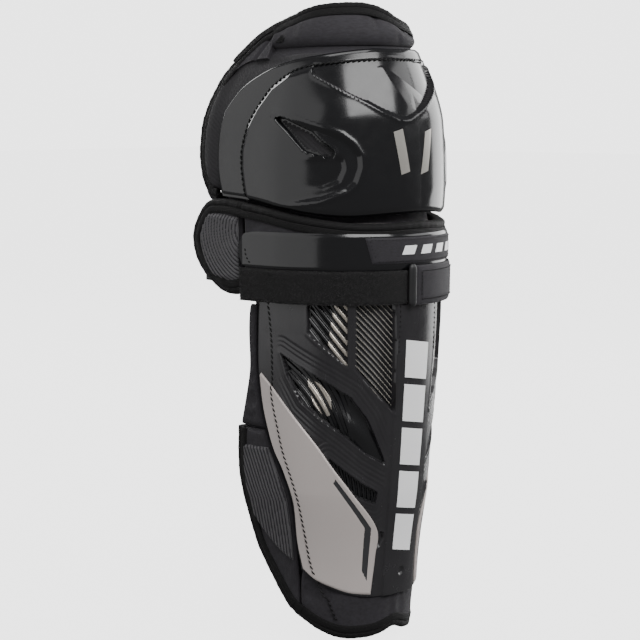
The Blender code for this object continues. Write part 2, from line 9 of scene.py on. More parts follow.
import bpy
import numpy as np
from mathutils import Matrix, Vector


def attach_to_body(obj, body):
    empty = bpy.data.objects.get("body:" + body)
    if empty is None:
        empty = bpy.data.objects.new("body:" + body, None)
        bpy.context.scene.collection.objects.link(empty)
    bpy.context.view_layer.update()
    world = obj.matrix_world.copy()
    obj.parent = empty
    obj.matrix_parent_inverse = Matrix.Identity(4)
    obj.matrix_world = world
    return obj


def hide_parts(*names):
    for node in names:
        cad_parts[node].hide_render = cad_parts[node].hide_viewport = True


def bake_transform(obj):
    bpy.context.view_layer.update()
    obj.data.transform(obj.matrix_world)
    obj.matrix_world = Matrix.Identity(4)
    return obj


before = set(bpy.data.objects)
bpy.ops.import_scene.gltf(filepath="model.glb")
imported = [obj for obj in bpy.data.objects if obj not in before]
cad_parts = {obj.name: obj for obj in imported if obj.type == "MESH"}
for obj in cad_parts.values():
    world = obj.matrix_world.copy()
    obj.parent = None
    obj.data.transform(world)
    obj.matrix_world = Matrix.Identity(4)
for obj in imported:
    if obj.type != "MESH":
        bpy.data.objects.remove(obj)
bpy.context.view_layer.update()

# Leg form shared with the CAD: height and radius of the outer face of the hard shells.
FORM = np.array([
    (-0.02, 0.056), (0.0, 0.057), (0.04, 0.06), (0.08, 0.063), (0.13, 0.07), (0.2, 0.076),
    (0.26, 0.08), (0.3, 0.081), (0.36, 0.0815), (0.4, 0.081), (0.43, 0.079), (0.45, 0.075),
    (0.47, 0.069), (0.49, 0.061), (0.51, 0.053), (0.54, 0.044),
])
SIDE_CURL = 0.07
DEGREE = 0.0014           # metres across the surface per degree
TAPE_HALF_WIDTH = 0.0036
SIDES = (("outer", 1), ("inner", -1))
RNG = np.random.default_rng(7)

# Mesh cells: hard pieces, pads, cloth across folds, straps.
HARD_STEP = 0.001
PAD_STEP = 0.0036
FOLD_STEP = 0.002
STRAP_STEP = 0.0012

# Openings: width of the carved wall, where it is cut through, and how far points are pulled onto it.
WALL = 0.0016
OPEN = 0.0015
SNAP_REACH = 0.0006

# Pitch of each set of ribs or grooves.
LOUVRE_PITCH = 0.0046
GROOVE_PITCH = 0.0036
FINE_PITCH = 0.0035
COARSE_PITCH = 0.006
SLANT_PITCH = 0.0066
WING_PITCH = 0.0027
CALF_PITCH = 0.0042

# Stitches: pitch, length, thread radius and lean.
SEAM_STITCH = 0.0044, 0.005, 0.00062, 0.45
RIDGE_STITCH = 0.004, 0.0026, 0.0004, 0.0
BAND_STITCH = 0.0036, 0.0032, 0.0005, 0.4
LABEL_STITCH = 0.003, 0.002, 0.0003, 0.0
TACK_STITCH = 0.0012, 0.002, 0.0004, 1.2
ANKLE_STITCH = 0.0042, 0.004, 0.0006, 0.4
TAB_STITCH = 0.0028, 0.002, 0.00034, 0.0
FINE_STITCH = 0.003, 0.0022, 0.00032, 0.0

# Cloth pass that inflates the pads.
PUFF_PRESSURE = 2.5
PUFF_FRAMES = 12
PUFF_HELD = 0.003

# Outlines on the outer half: (angle, height).
CUP_LOWER = [(0, 0.356), (20, 0.355), (45, 0.353), (66, 0.355), (89, 0.36), (114, 0.365), (136, 0.367)]
CUP_UPPER = [(0, 0.486), (30, 0.486), (67, 0.481), (96, 0.475), (115, 0.466), (128, 0.455), (137, 0.438)]
CUP_REAR = [(136, 0.367), (140, 0.385), (141, 0.405), (140, 0.424), (137, 0.438)]
CUP_SEAM = [(114, 0.36), (116.5, 0.372), (119, 0.389), (119.3, 0.4055), (115.4, 0.4247), (109, 0.44),
            (100, 0.4557), (87, 0.4666), (72.5, 0.4719), (37, 0.4765), (0, 0.4775)]
CUP_VENT = [(93, 0.4315), (85, 0.4305), (67, 0.4205), (62, 0.414), (53.5, 0.405), (53, 0.4015),
            (56, 0.399), (66, 0.4025), (71.5, 0.405), (82, 0.4195), (91, 0.429)]
CUP_HOOD = [(96, 0.436), (85, 0.4335), (67, 0.4245), (56, 0.42), (49, 0.416), (43, 0.4097), (39, 0.401),
            (38.6, 0.3917), (41.4, 0.38), (46, 0.374), (61, 0.3667), (80, 0.363), (104, 0.362),
            (104, 0.42)]
CUP_BOWL = [(64, 0.4), (54, 0.4025), (48, 0.3995), (46.5, 0.391), (50, 0.38), (60, 0.3745),
            (82, 0.372), (82, 0.396)]
FACET_CENTRE = 12
FACET = [(-4, 0.429), (4, 0.43), (12, 0.435), (24, 0.444), (38, 0.4535), (56, 0.465), (58, 0.472),
         (-4, 0.479)]
PAD_LOWER = [(0, 0.362), (45, 0.36), (80, 0.364), (114, 0.37), (147, 0.371)]
PAD_UPPER = [(0, 0.486), (60, 0.4855), (104, 0.4845), (122, 0.4845), (134, 0.4825), (143, 0.476)]
PAD_REAR = [(147, 0.371), (153, 0.386), (155.5, 0.404), (155, 0.428), (151, 0.455), (143, 0.476)]
RING_LOWER = [(0, 0.402), (56, 0.402)]
RING_UPPER = [(0, 0.462), (52, 0.458)]
RING_HOLE = [(-26, 0.416), (0, 0.414), (26, 0.416), (27, 0.431), (24, 0.446), (0, 0.448), (-24, 0.446),
             (-27, 0.431)]
FLAP_LOWER = [(-112, 0.4878), (-60, 0.4888), (0, 0.4892), (60, 0.4888), (118, 0.4878)]
FLAP_UPPER = [(-112, 0.4955), (-80, 0.4975), (-50, 0.4995), (-14, 0.5055), (0, 0.51),
              (18, 0.5155), (38, 0.5175), (73, 0.5155), (100, 0.5085), (118, 0.502)]
WRAP_LOWER = [(0, 0.2995), (60, 0.2995), (116, 0.2995)]
WRAP_UPPER = [(0, 0.3425), (28, 0.3415), (48, 0.3425), (73, 0.347), (98, 0.353), (116, 0.356)]
TONGUE_LOWER = [(0, 0.33), (96, 0.332)]
TONGUE_UPPER = [(0, 0.392), (50, 0.39), (88, 0.382)]
BAND_LOWER = [(0, 0.3114), (60, 0.3114), (108, 0.3118), (114, 0.3145)]
BAND_UPPER = [(0, 0.3395), (60, 0.3405), (106, 0.34), (114, 0.335)]
BAND_REAR = [(114, 0.3145), (117, 0.3195), (117.5, 0.325), (117, 0.33), (114, 0.335)]
LABEL_LOWER = [(33, 0.3165), (-5, 0.3165), (-39, 0.3165)]
LABEL_UPPER = [(37, 0.337), (0, 0.337), (-43, 0.337)]
LABEL_ROW = [(30, 0.3183), (-37, 0.3183), (-41, 0.3352), (34.5, 0.3352), (31, 0.319)]
WING_LOWER = [(118.5, 0.296), (126, 0.2935), (134, 0.295), (141, 0.2995)]
WING_UPPER = [(118.5, 0.356), (128, 0.358), (137, 0.3585), (146, 0.357)]
WING_REAR = [(141, 0.2995), (151, 0.309), (157, 0.32), (159, 0.333), (154, 0.347), (146, 0.357)]
INNER_WING_LOWER = [(118.5, 0.32), (126, 0.319), (134, 0.32), (140, 0.323)]
INNER_WING_UPPER = [(118.5, 0.356), (126, 0.3575), (134, 0.3575), (141, 0.3555)]
INNER_WING_REAR = [(140, 0.323), (146, 0.33), (149, 0.339), (147, 0.349), (141, 0.3555)]
SHIN_LOWER = [(0, 0.0445), (14, 0.044), (28, 0.044), (43, 0.0465), (56, 0.051), (70, 0.0575), (82, 0.066)]
SHIN_UPPER = [(0, 0.2985), (60, 0.2985), (103, 0.2985)]
SHIN_REAR = [(82, 0.066), (85, 0.09), (85.5, 0.122), (92, 0.146), (99, 0.163), (103, 0.18),
             (106, 0.2), (107, 0.228), (105.5, 0.26), (103, 0.2985)]
SHIN_SEAM = [(96.6, 0.286), (95, 0.268), (94.4, 0.25), (95, 0.228), (96, 0.2072), (93, 0.185),
             (89.5, 0.1637), (84, 0.143), (79.6, 0.1237), (76.5, 0.098), (73.3, 0.0732), (68, 0.056),
             (61.2, 0.0407)]
WINDOW_SLOTTED = [(69, 0.285), (46, 0.285), (46, 0.2345), (58, 0.248), (69, 0.261)]
WINDOW_RIBBED = [(41.5, 0.285), (18, 0.285), (16, 0.196), (30, 0.214), (41.5, 0.2325)]
WINDOW_EYE = [(87.5, 0.244), (70, 0.231), (57, 0.2215), (44, 0.2105), (33, 0.1915), (22, 0.16),
              (20, 0.153), (34, 0.1635), (48, 0.1785), (62, 0.1915), (75, 0.2055), (84, 0.226)]
WINDOW_LOW = [(58, 0.1615), (46.5, 0.15), (36, 0.14), (25, 0.132), (26.5, 0.1215), (40, 0.128),
              (48.5, 0.14), (57, 0.157)]
EYE_PATCH = [(71, 0.226), (62, 0.22), (56, 0.21), (55, 0.196), (60, 0.193), (67, 0.203), (70, 0.214)]
WINDOWS = [WINDOW_SLOTTED, WINDOW_RIBBED, WINDOW_EYE, WINDOW_LOW]
SLOT = [(21.5, 0.0985), (18.5, 0.0975), (18.2, 0.093), (20.5, 0.087), (23.6, 0.085), (23.8, 0.088),
        (21.2, 0.092)]
RIVET_HEIGHT = 0.0635
RIVET_DEGREE = 0.00107    # metres per degree at the rivet
SIDE_FRONT = [(27, 0.0465), (24, 0.079), (24, 0.101), (42, 0.131), (54, 0.151),
              (67, 0.174), (83, 0.198), (95, 0.215), (104, 0.226)]
SIDE_REAR = [(80, 0.067), (83.5, 0.09), (84, 0.1225), (90.5, 0.1465), (97.5, 0.1635),
             (101.5, 0.18), (104.5, 0.2), (105.5, 0.224)]
SIDE_LOWER = [(27, 0.0465), (43, 0.0485), (56, 0.053), (70, 0.059), (80, 0.067)]
CHEVRON = [(54.8, 0.1405), (33.5, 0.103), (34.5, 0.067), (30.5, 0.058), (28.5, 0.102), (53.5, 0.144)]
BUMPER_UPPER = [(0, 0.053), (28, 0.053), (56, 0.058), (82, 0.07)]
BUMPER_LOWER = [(0, 0.0215), (20, 0.0165), (38, 0.015), (52, 0.016), (68, 0.0215), (86, 0.031)]
BUMPER_REAR = [(86, 0.031), (86, 0.045), (85, 0.058), (82, 0.07)]
LINER_UPPER = [(0, 0.2975), (60, 0.2975), (104, 0.2975)]
LINER_LOWER = [(0, 0.04), (40, 0.036), (80, 0.052), (96, 0.072)]
LINER_REAR = [(96, 0.072), (102, 0.1), (106, 0.15), (110, 0.2), (112, 0.25), (104, 0.2975)]
CALF_FRONT = [(87.0, 0.03), (87.5, 0.09), (88.5, 0.1225), (95, 0.144), (101.5, 0.161), (107, 0.178)]
CALF_REAR = [(97, 0.04), (111, 0.06), (123, 0.081), (128, 0.105), (130, 0.125),
             (130.5, 0.146), (126.5, 0.178)]
CALF_SIDE_FRONT = [(106, 0.18), (108.5, 0.2), (109.5, 0.228), (108.5, 0.26), (107, 0.281)]
CALF_SIDE_REAR = [(126, 0.18), (120, 0.2), (116, 0.228), (115, 0.26), (113, 0.281)]
CALF_KNIT_FRONT = [(90.5, 0.072), (91, 0.12), (98, 0.146), (104, 0.164)]
CALF_KNIT_REAR = [(126, 0.106), (128.5, 0.125), (129, 0.146), (127, 0.164)]
CALF_KNIT_LOWER = [(90.5, 0.072), (104, 0.08), (118, 0.094), (126, 0.106)]
CALF_KNIT_UPPER = [(104, 0.164), (112, 0.164), (120, 0.164), (127, 0.164)]

# Cloth across the folds.
FOLD_LOWER = [(0, 0.48), (60, 0.4795), (104, 0.4785), (122, 0.4775)]
FOLD_UPPER = {"outer": [(0, 0.494), (60, 0.494), (104, 0.494), (118, 0.493)],
              "inner": [(0, 0.494), (60, 0.493), (100, 0.492), (112, 0.491)]}
CORNER_UPPER = {"outer": [(114, 0.5035), (120, 0.5005), (128, 0.496), (135, 0.4895), (142.5, 0.479)],
                "inner": [(108, 0.4955), (116, 0.4945), (126, 0.4925), (135, 0.487), (142.5, 0.478)]}
WING_SEAM_FOOT = {"outer": 0.301, "inner": 0.324}
CALF_SEAM_LOW = (87.0, 0.027), (88.5, 0.1235)
CALF_SEAM_HIGH = (88.5, 0.1215), (107, 0.178)
CALF_SEAM_REACH = 0.0045

# Two points in space for each joint, where a blend across it would start and end; the cloth across the joint
# does not use them.
FLAP_HINGE = (0, 0.034, 0.485), (0, 0.034, 0.4905)
FLAP_CORNER = (0, 0.08, 0.476), (0, 0.034, 0.498)
KNEE_FOLD = (0, 0.098, 0.348), (0, 0.098, 0.38)
CALF_TOP = (0, 0.03, 0.184), (0, 0.03, 0.172)

# Inner and outer face of each soft layer, from the form.
LAYER = {
    "knee": (-0.015, -0.005), "knee_edge": (-0.0135, -0.0035),
    "flap": (-0.012, -0.002), "flap_edge": (-0.0115, -0.0025), "corner_edge": (-0.012, -0.0024),
    "wrap": (-0.0095, 0.0013), "wrap_edge": (-0.0095, 0.0015),
    "wing": (-0.0086, -0.0006), "wing_hinge_edge": (-0.0088, 0.0004),
    "ankle": (-0.0086, -0.0028), "ankle_edge": (-0.0092, -0.0022),
    "calf": (-0.008, -0.0014), "calf_corner_edge": (-0.0088, -0.0018),
    "liner": (-0.017, -0.009),
}
RING_DEPTH = -0.0198
RING_HALF = 0.004
PAD_SLOTS = {"charcoal": "charcoal_fabric", "side_cloth": "charcoal_fabric", "liner": "grey_knit"}

QUILT_PITCH = 0.044
QUILT_DEPTH = 0.0045
STRAP_LOW, STRAP_HIGH = 0.284, 0.3108
TAB_LOW, TAB_HIGH = 0.283, 0.3145
BLOCK_COUNT = 5
BLOCK_LOWEST = 0.079
BLOCK_PITCH = 0.0355
BLOCK_HEIGHT = 0.03
BLOCK_SLANT = 0.004


# ---------------------------------------------------------------- the form

def catmull(values, index, t):
    """Catmull-Rom between values[index] and values[index + 1]."""
    last = len(values) - 1
    a = values[np.maximum(index - 1, 0)]
    b = values[index]
    c = values[np.minimum(index + 1, last)]
    d = values[np.minimum(index + 2, last)]
    bend = (2 * a - 5 * b + 4 * c - d) * t ** 2
    twist = (3 * b - a - 3 * c + d) * t ** 3
    return 0.5 * (2 * b + (c - a) * t + bend + twist)


def form_radius(height):
    """Radius of the leg form."""
    heights = FORM[:, 0]
    index = np.clip(np.searchsorted(heights, height, "right") - 1, 0, len(heights) - 2)
    t = np.clip((height - heights[index]) / (heights[index + 1] - heights[index]), 0, 1)
    return catmull(FORM[:, 1], index, t)


def base(angle, height):
    """Points on the leg form."""
    radius = form_radius(height)
    turn = np.radians(np.abs(angle))
    back = np.maximum(turn - math.pi / 2, 0)
    x = np.where(back > 0, radius * (1 - SIDE_CURL * back ** 2), radius * np.sin(turn))
    y = np.where(back > 0, radius * back, -radius * np.cos(turn))
    return np.stack([np.where(angle >= 0, -x, x), y, height + 0 * x], -1)


def normals(angle, height):
    """Directions away from the form."""
    across = base(angle + 0.5, height) - base(angle - 0.5, height)
    along = base(angle, height + 0.001) - base(angle, height - 0.001)
    normal = np.cross(along, across)
    return normal / np.linalg.norm(normal, axis=-1, keepdims=True)


def place(angle, height, out):
    """Points at a distance outside the form."""
    angle = np.asarray(angle, float)
    height = np.asarray(height, float)
    return base(angle, height) + normals(angle, height) * np.asarray(out + 0 * angle)[..., None]


def ease(low, high, value):
    """Smooth step from 0 at low to 1 at high."""
    t = np.clip((value - low) / (high - low), 0, 1)
    return t * t * (3 - 2 * t)


def ridge(distance, offset, width):
    """Bell across a contour, highest where distance is -offset."""
    return np.exp(-((distance + offset) / width) ** 2)


def inside(angle, height, outline):
    """Signed distance to an outline, positive inside it."""
    x = np.asarray(angle) * DEGREE
    y = np.asarray(height)
    points = [(a * DEGREE, h) for a, h in outline]
    nearest = np.full(np.shape(x), 1e9)
    within = np.zeros(np.shape(x), bool)
    for (x0, y0), (x1, y1) in zip(points, points[1:] + points[:1]):
        dx, dy = x1 - x0, y1 - y0
        t = np.clip(((x - x0) * dx + (y - y0) * dy) / (dx * dx + dy * dy), 0, 1)
        nearest = np.minimum(nearest, np.hypot(x - x0 - t * dx, y - y0 - t * dy))
        crosses = (y0 > y) != (y1 > y)
        within ^= crosses & (x < x0 + (y - y0) * dx / (dy if dy else 1e-12))
    return np.where(within, nearest, -nearest)


def resample(curve, count):
    """Evenly spaced points on a smooth curve."""
    points = np.array(curve, float)
    position = np.linspace(0, len(points) - 1, 400)
    index = np.minimum(position.astype(int), len(points) - 2)
    fine = catmull(points, index, (position - index)[:, None])
    step = np.hypot(np.diff(fine[:, 0]) * DEGREE, np.diff(fine[:, 1]))
    length = np.concatenate([[0], np.cumsum(step)])
    target = np.linspace(0, length[-1], count)
    return np.stack([np.interp(target, length, fine[:, 0]), np.interp(target, length, fine[:, 1])], -1)


def curve_length(curve):
    """Length of a smooth curve across the surface."""
    points = resample(curve, 100)
    return float(np.hypot(np.diff(points[:, 0]) * DEGREE, np.diff(points[:, 1])).sum())


def mirrored(curve):
    """Curve over both halves, from its outer half."""
    return turned(curve[:0:-1], -1) + list(curve)


def turned(curve, sign):
    """Curve on the outer half for sign 1, on the inner half for -1."""
    return [(sign * a, h) for a, h in curve]


def patch(lower, upper, step, left=None, right=None):
    """Grids of angle and height filling four boundary curves, with cells about step wide."""
    left = left or [lower[0], upper[0]]
    right = right or [lower[-1], upper[-1]]
    columns = max(6, round(max(curve_length(lower), curve_length(upper)) / step) + 1)
    rows = max(5, round(max(curve_length(left), curve_length(right)) / step) + 1)
    low, high = resample(lower, columns), resample(upper, columns)
    start, end = resample(left, rows), resample(right, rows)
    u = np.linspace(0, 1, columns)[None, :, None]
    v = np.linspace(0, 1, rows)[:, None, None]
    grid = ((1 - v) * low[None] + v * high[None] + (1 - u) * start[:, None] + u * end[:, None]
            - (1 - u) * (1 - v) * low[0] - u * (1 - v) * low[-1] - (1 - u) * v * high[0] - u * v * high[-1])
    return grid[..., 0], grid[..., 1]


def whole(lower, upper, step, rear=None):
    """Patch over both halves, from outlines on the outer half."""
    if rear is None:
        return patch(mirrored(lower), mirrored(upper), step)
    return patch(mirrored(lower), mirrored(upper), step, turned(rear, -1), rear)


def half(lower, upper, step, sign, front=None, rear=None):
    """Patch over one half, from outlines on the outer half."""
    return patch(turned(lower, sign), turned(upper, sign), step,
                 front and turned(front, sign), rear and turned(rear, sign))


def between(front, rear, step, sign):
    """Patch over one half that fills two rising curves."""
    return half([front[0], rear[0]], [front[-1], rear[-1]], step, sign, front, rear)


def snap(grid, outlines, levels, reach):
    """Pull nearby grid points onto contours of the outlines, so carved edges run clean."""
    angle, height = grid[0].copy(), grid[1].copy()
    tiny = 0.0001
    for outline in outlines:
        for level in levels:
            side = np.abs(angle)
            off = inside(side, height, outline) - level
            nudge = tiny / DEGREE
            across = inside(side + nudge, height, outline) - inside(side - nudge, height, outline)
            along = inside(side, height + tiny, outline) - inside(side, height - tiny, outline)
            near = np.where(np.abs(off) < reach, off, 0) / (2 * tiny)
            angle -= np.sign(angle) * near * across / DEGREE
            height -= near * along
    return angle, height


def edge_distance(angle, height):
    """Distance of each grid point from the border of its grid."""
    x = angle * DEGREE
    across = np.hypot(np.diff(x, axis=1), np.diff(height, axis=1))
    along = np.hypot(np.diff(x, axis=0), np.diff(height, axis=0))
    from_left = np.concatenate([np.zeros((len(x), 1)), np.cumsum(across, 1)], 1)
    from_low = np.concatenate([np.zeros((1, x.shape[1])), np.cumsum(along, 0)], 0)
    return np.minimum(np.minimum(from_left, from_left[:, -1:] - from_left),
                      np.minimum(from_low, from_low[-1:] - from_low))


# ---------------------------------------------------------------- meshes

def attach(thing, body, slot, *nodes):
    """The body a piece rides on, and the CAD nodes that it stands for; slot is not used."""
    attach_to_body(thing, body)
    if nodes:
        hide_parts(*nodes)


def new_object(name, vertices, faces, material, uv=None, sharp=38):
    """Mesh object from arrays; uv is a list of millimetre coordinates per vertex."""
    mesh = bpy.data.meshes.new(name)
    mesh.from_pydata([tuple(v) for v in np.asarray(vertices, float).tolist()], [], faces)
    mesh.update()
    for polygon in mesh.polygons:
        polygon.use_smooth = True
    if sharp:
        mesh.set_sharp_from_angle(angle=math.radians(sharp))
    if uv is not None:
        layer = mesh.uv_layers.new(name="mm")
        corners = np.zeros(len(mesh.loops), np.int64)
        mesh.loops.foreach_get("vertex_index", corners)
        layer.data.foreach_set("uv", np.asarray(uv, float)[corners].ravel())
    mesh.materials.append(material)
    thing = bpy.data.objects.new(name, mesh)
    bpy.context.scene.collection.objects.link(thing)
    return thing


def slab(name, grid, outer, inner, material, hole=None, sharp=38):
    """Closed sheet on the form between two distances; hole marks grid points that are open."""
    angle, height = grid
    rows, columns = angle.shape
    outer = np.broadcast_to(outer, angle.shape)
    inner = np.broadcast_to(inner, angle.shape)
    front = place(angle, height, outer).reshape(-1, 3)
    back = place(angle, height, inner).reshape(-1, 3)
    backward = np.mean(np.diff(angle, axis=1)) < 0
    count = rows * columns
    index = np.arange(count).reshape(rows, columns)
    a, b, c, d = index[:-1, :-1], index[1:, :-1], index[1:, 1:], index[:-1, 1:]
    quads = np.stack([a, b, c, d], -1).reshape(-1, 4)
    if hole is not None:
        keep = ~(hole[:-1, :-1] & hole[1:, :-1] & hole[1:, 1:] & hole[:-1, 1:]).ravel()
        quads = quads[keep]
    if backward:
        quads = quads[:, ::-1]
    rim = np.concatenate([index[0, :-1], index[:-1, -1], index[-1, :0:-1], index[:0:-1, 0]])
    after = np.roll(rim, -1)
    wall = np.stack([rim, after, after + count, rim + count], -1)
    if backward:
        wall = wall[:, ::-1]
    faces = quads.tolist() + (quads[:, ::-1] + count).tolist() + wall.tolist()
    uv = np.stack([angle * DEGREE * 1000, height * 1000], -1).reshape(-1, 2)
    return new_object(name, np.concatenate([front, back]), faces, material, np.concatenate([uv, uv]), sharp)


def paint(thing, flags, material):
    """Give the front cells whose corners are all flagged another material."""
    thing.data.materials.append(material)
    place_in_list = len(thing.data.materials) - 1
    cells = (flags[:-1, :-1] & flags[1:, 1:] & flags[1:, :-1] & flags[:-1, 1:]).ravel()
    for cell in np.nonzero(cells)[0]:
        thing.data.polygons[int(cell)].material_index = place_in_list


def ring_faces(count, sides, start=0):
    """Faces of a closed strip through rings whose vertices follow one another from start."""
    last = start + (count - 1) * sides
    faces = []
    for near in range(start, last, sides):
        far = near + sides
        for corner in range(sides):
            after = (corner + 1) % sides
            faces.append((near + corner, near + after, far + after, far + corner))
    faces.append(tuple(start + corner for corner in reversed(range(sides))))
    faces.append(tuple(last + corner for corner in range(sides)))
    return faces


def tube(name, centres, acrosses, outs, half_width, half_depth, material, sides=12, power=1.0):
    """Rounded strip along a line of centres."""
    centres = np.asarray(centres)
    turn = np.linspace(0, 2 * math.pi, sides, endpoint=False)
    cosine = np.sign(np.cos(turn)) * np.abs(np.cos(turn)) ** power
    sine = np.sign(np.sin(turn)) * np.abs(np.sin(turn)) ** power
    half_width = np.broadcast_to(half_width, len(centres))[:, None, None]
    half_depth = np.broadcast_to(half_depth, len(centres))[:, None, None]
    rings = (centres[:, None] + np.asarray(acrosses)[:, None] * cosine[None, :, None] * half_width
             + np.asarray(outs)[:, None] * sine[None, :, None] * half_depth)
    count = len(centres)
    faces = ring_faces(count, sides)
    # Known fault: the end faces wind against the rest, and the rest face inward where across x out runs
    # against the line.
    faces[-2:] = [face[::-1] for face in faces[-2:]]
    length = np.concatenate([[0], np.cumsum(np.linalg.norm(np.diff(centres, axis=0), axis=1))]) * 1000
    uv = np.stack([np.repeat(length, sides), np.tile(np.linspace(0, 18, sides), count)], -1)
    return new_object(name, rings.reshape(-1, 3), faces, material, uv, 60)


def path_frames(curve, out, count):
    """Centres, across directions and outward directions along a curve on the form."""
    points = resample(curve, count)
    angle, height = points[:, 0], points[:, 1]
    level = out(angle, height) if callable(out) else out
    centres = place(angle, height, level)
    outward = normals(angle, height)
    along = np.gradient(centres, axis=0)
    across = np.cross(outward, along)
    across /= np.linalg.norm(across, axis=1, keepdims=True)
    return centres, across, outward


def binding(name, curve, layer, sign):
    """Folded edge tape: a soft roll beyond the pad's edge with a flat tail stitched onto the pad."""
    count = max(30, int(curve_length(curve) / 0.0022))
    middle = (layer[0] + layer[1]) / 2
    depth = (layer[1] - layer[0]) / 2
    centres, across, outward = path_frames(curve, middle, count)
    across *= sign
    ripple = 1 + 0.03 * np.sin(np.arange(count) * 1.9) + 0.02 * np.sin(np.arange(count) * 0.7 + 1)
    roll = tube(name, centres + across * (TAPE_HALF_WIDTH * 0.75), across, outward, TAPE_HALF_WIDTH * ripple,
                (depth + 0.0006) * ripple, MAT["tape"], sides=16, power=0.75)
    tail = centres - across * 0.0024 + outward * (depth + 0.0003)
    strip = tube(name + "_tail", tail, across, outward, 0.003, 0.0007, MAT["tape"], power=0.6)
    row = centres - across * 0.0034 + outward * (depth + 0.001)
    thread = run_stitches(name + "_thread", row, across, outward, *FINE_STITCH)
    return [roll, strip, thread]


def run_stitches(name, centres, across, outward, pitch, length, radius, lean):
    """Row of short thread stitches along a line of points."""
    distance = np.concatenate([[0], np.cumsum(np.linalg.norm(np.diff(centres, axis=0), axis=1))])
    spots = np.arange(pitch / 2, distance[-1] - pitch / 2, pitch)

    def along(values, where):
        return np.stack([np.interp(where, distance, values[:, axis]) for axis in range(3)], -1)

    middle = along(centres, spots)
    ahead = along(centres, spots + 0.0005) - along(centres, spots - 0.0005)
    ahead /= np.linalg.norm(ahead, axis=1, keepdims=True)
    side = along(across, spots)
    up = along(outward, spots)
    direction = ahead + side * lean
    direction /= np.linalg.norm(direction, axis=1, keepdims=True)
    beside = np.cross(up, direction)
    profile = [(-0.5, 0.35), (-0.3, 0.9), (0.0, 1.1), (0.3, 0.9), (0.5, 0.35)]
    sides = 6
    turn = np.linspace(0, 2 * math.pi, sides, endpoint=False)
    rings = []
    for shift, swell in profile:
        sink = -abs(shift) * radius * 2.2
        centre = middle + direction * (shift * length) + up * sink
        width = beside[:, None] * np.cos(turn)[None, :, None] * radius * swell
        rise = up[:, None] * np.sin(turn)[None, :, None] * radius * swell
        rings.append(centre[:, None] + width + rise)
    vertices = np.stack(rings, 1).reshape(-1, 3)
    faces = []
    for stitch in range(len(spots)):
        faces += ring_faces(len(profile), sides, stitch * len(profile) * sides)
    return new_object(name, vertices, faces, MAT["thread"], None, 0)


def stitches(name, curve, out, body, pitch, length, radius, lean):
    """Row of stitches along a curve on the form."""
    centres, across, outward = path_frames(curve, out, max(20, int(curve_length(curve) / 0.001)))
    thing = run_stitches(name, centres + outward * radius * 0.5, across, outward, pitch, length, radius, lean)
    attach(thing, body, "edge_tape")


# ---------------------------------------------------------------- materials

def shader_of(material):
    """The shader node that carries a material's look."""
    return material.node_tree.nodes["Principled BSDF"]


def make_material(name, colour, roughness, **values):
    """Plain finish; other shader values by name, with _ for a space."""
    material = bpy.data.materials.new(name)
    material.use_nodes = True
    shader = shader_of(material)
    shader.inputs["Base Color"].default_value = (*colour, 1)
    shader.inputs["Roughness"].default_value = roughness
    for key, value in values.items():
        shader.inputs[key.replace("_", " ")].default_value = value
    return material


def add_node(material, kind, **values):
    """Shader node with its settings and constant inputs."""
    node = material.node_tree.nodes.new(kind)
    for key, value in values.items():
        if key in ("operation", "wave_type", "bands_direction"):
            setattr(node, key, value)
        else:
            node.inputs[key.replace("_", " ")].default_value = value
    return node


def link(material, source, output, target, socket):
    material.node_tree.links.new(source.outputs[output], target.inputs[socket])


def turned_mm(material, lean, scale=(1, 1, 1)):
    """Surface coordinates in millimetres, turned by lean and scaled."""
    surface = material.node_tree.nodes.new("ShaderNodeUVMap")
    surface.uv_map = "mm"
    mapping = add_node(material, "ShaderNodeMapping")
    mapping.inputs["Rotation"].default_value = (0, 0, lean)
    mapping.inputs["Scale"].default_value = scale
    link(material, surface, "UV", mapping, "Vector")
    return mapping


def thread_wave(material, mapping, direction, pitch, distortion):
    """Bands pitch millimetres apart."""
    wave = add_node(material, "ShaderNodeTexWave", wave_type="BANDS", bands_direction=direction,
                    Scale=0.314 / pitch, Distortion=distortion, Detail=1.0)
    link(material, mapping, "Vector", wave, "Vector")
    return wave


def bump(material, height_node, output, strength, distance):
    node = add_node(material, "ShaderNodeBump", Strength=strength, Distance=distance)
    link(material, height_node, output, node, "Height")
    link(material, node, "Normal", shader_of(material), "Normal")


def mottle(material, colour, other, scale, detail=4.0):
    """Base colour that drifts between two tones."""
    noise = add_node(material, "ShaderNodeTexNoise", Scale=scale, Detail=detail)
    ramp = material.node_tree.nodes.new("ShaderNodeValToRGB")
    for element, tone, position in zip(ramp.color_ramp.elements, (colour, other), (0.3, 0.7)):
        element.color = (*tone, 1)
        element.position = position
    link(material, noise, "Fac", ramp, "Fac")
    link(material, ramp, "Color", shader_of(material), "Base Color")
    return noise


def wear_roughness(material, low, high, scale):
    """Handling marks: roughness that varies softly over the surface."""
    noise = add_node(material, "ShaderNodeTexNoise", Scale=scale, Detail=6.0, Roughness=0.6)
    spread = add_node(material, "ShaderNodeMapRange")
    spread.inputs["From Min"].default_value = 0.35
    spread.inputs["From Max"].default_value = 0.75
    spread.inputs["To Min"].default_value = low
    spread.inputs["To Max"].default_value = high
    link(material, noise, "Fac", spread, "Value")
    link(material, spread, "Result", shader_of(material), "Roughness")


def scratched(material, strength):
    """Fine hairline scratches."""
    scratches = add_node(material, "ShaderNodeTexNoise", Scale=1.0, Detail=8.0, Roughness=0.75)
    link(material, turned_mm(material, 0.5, (0.9, 0.06, 1)), "Vector", scratches, "Vector")
    bump(material, scratches, "Fac", strength, 0.0002)


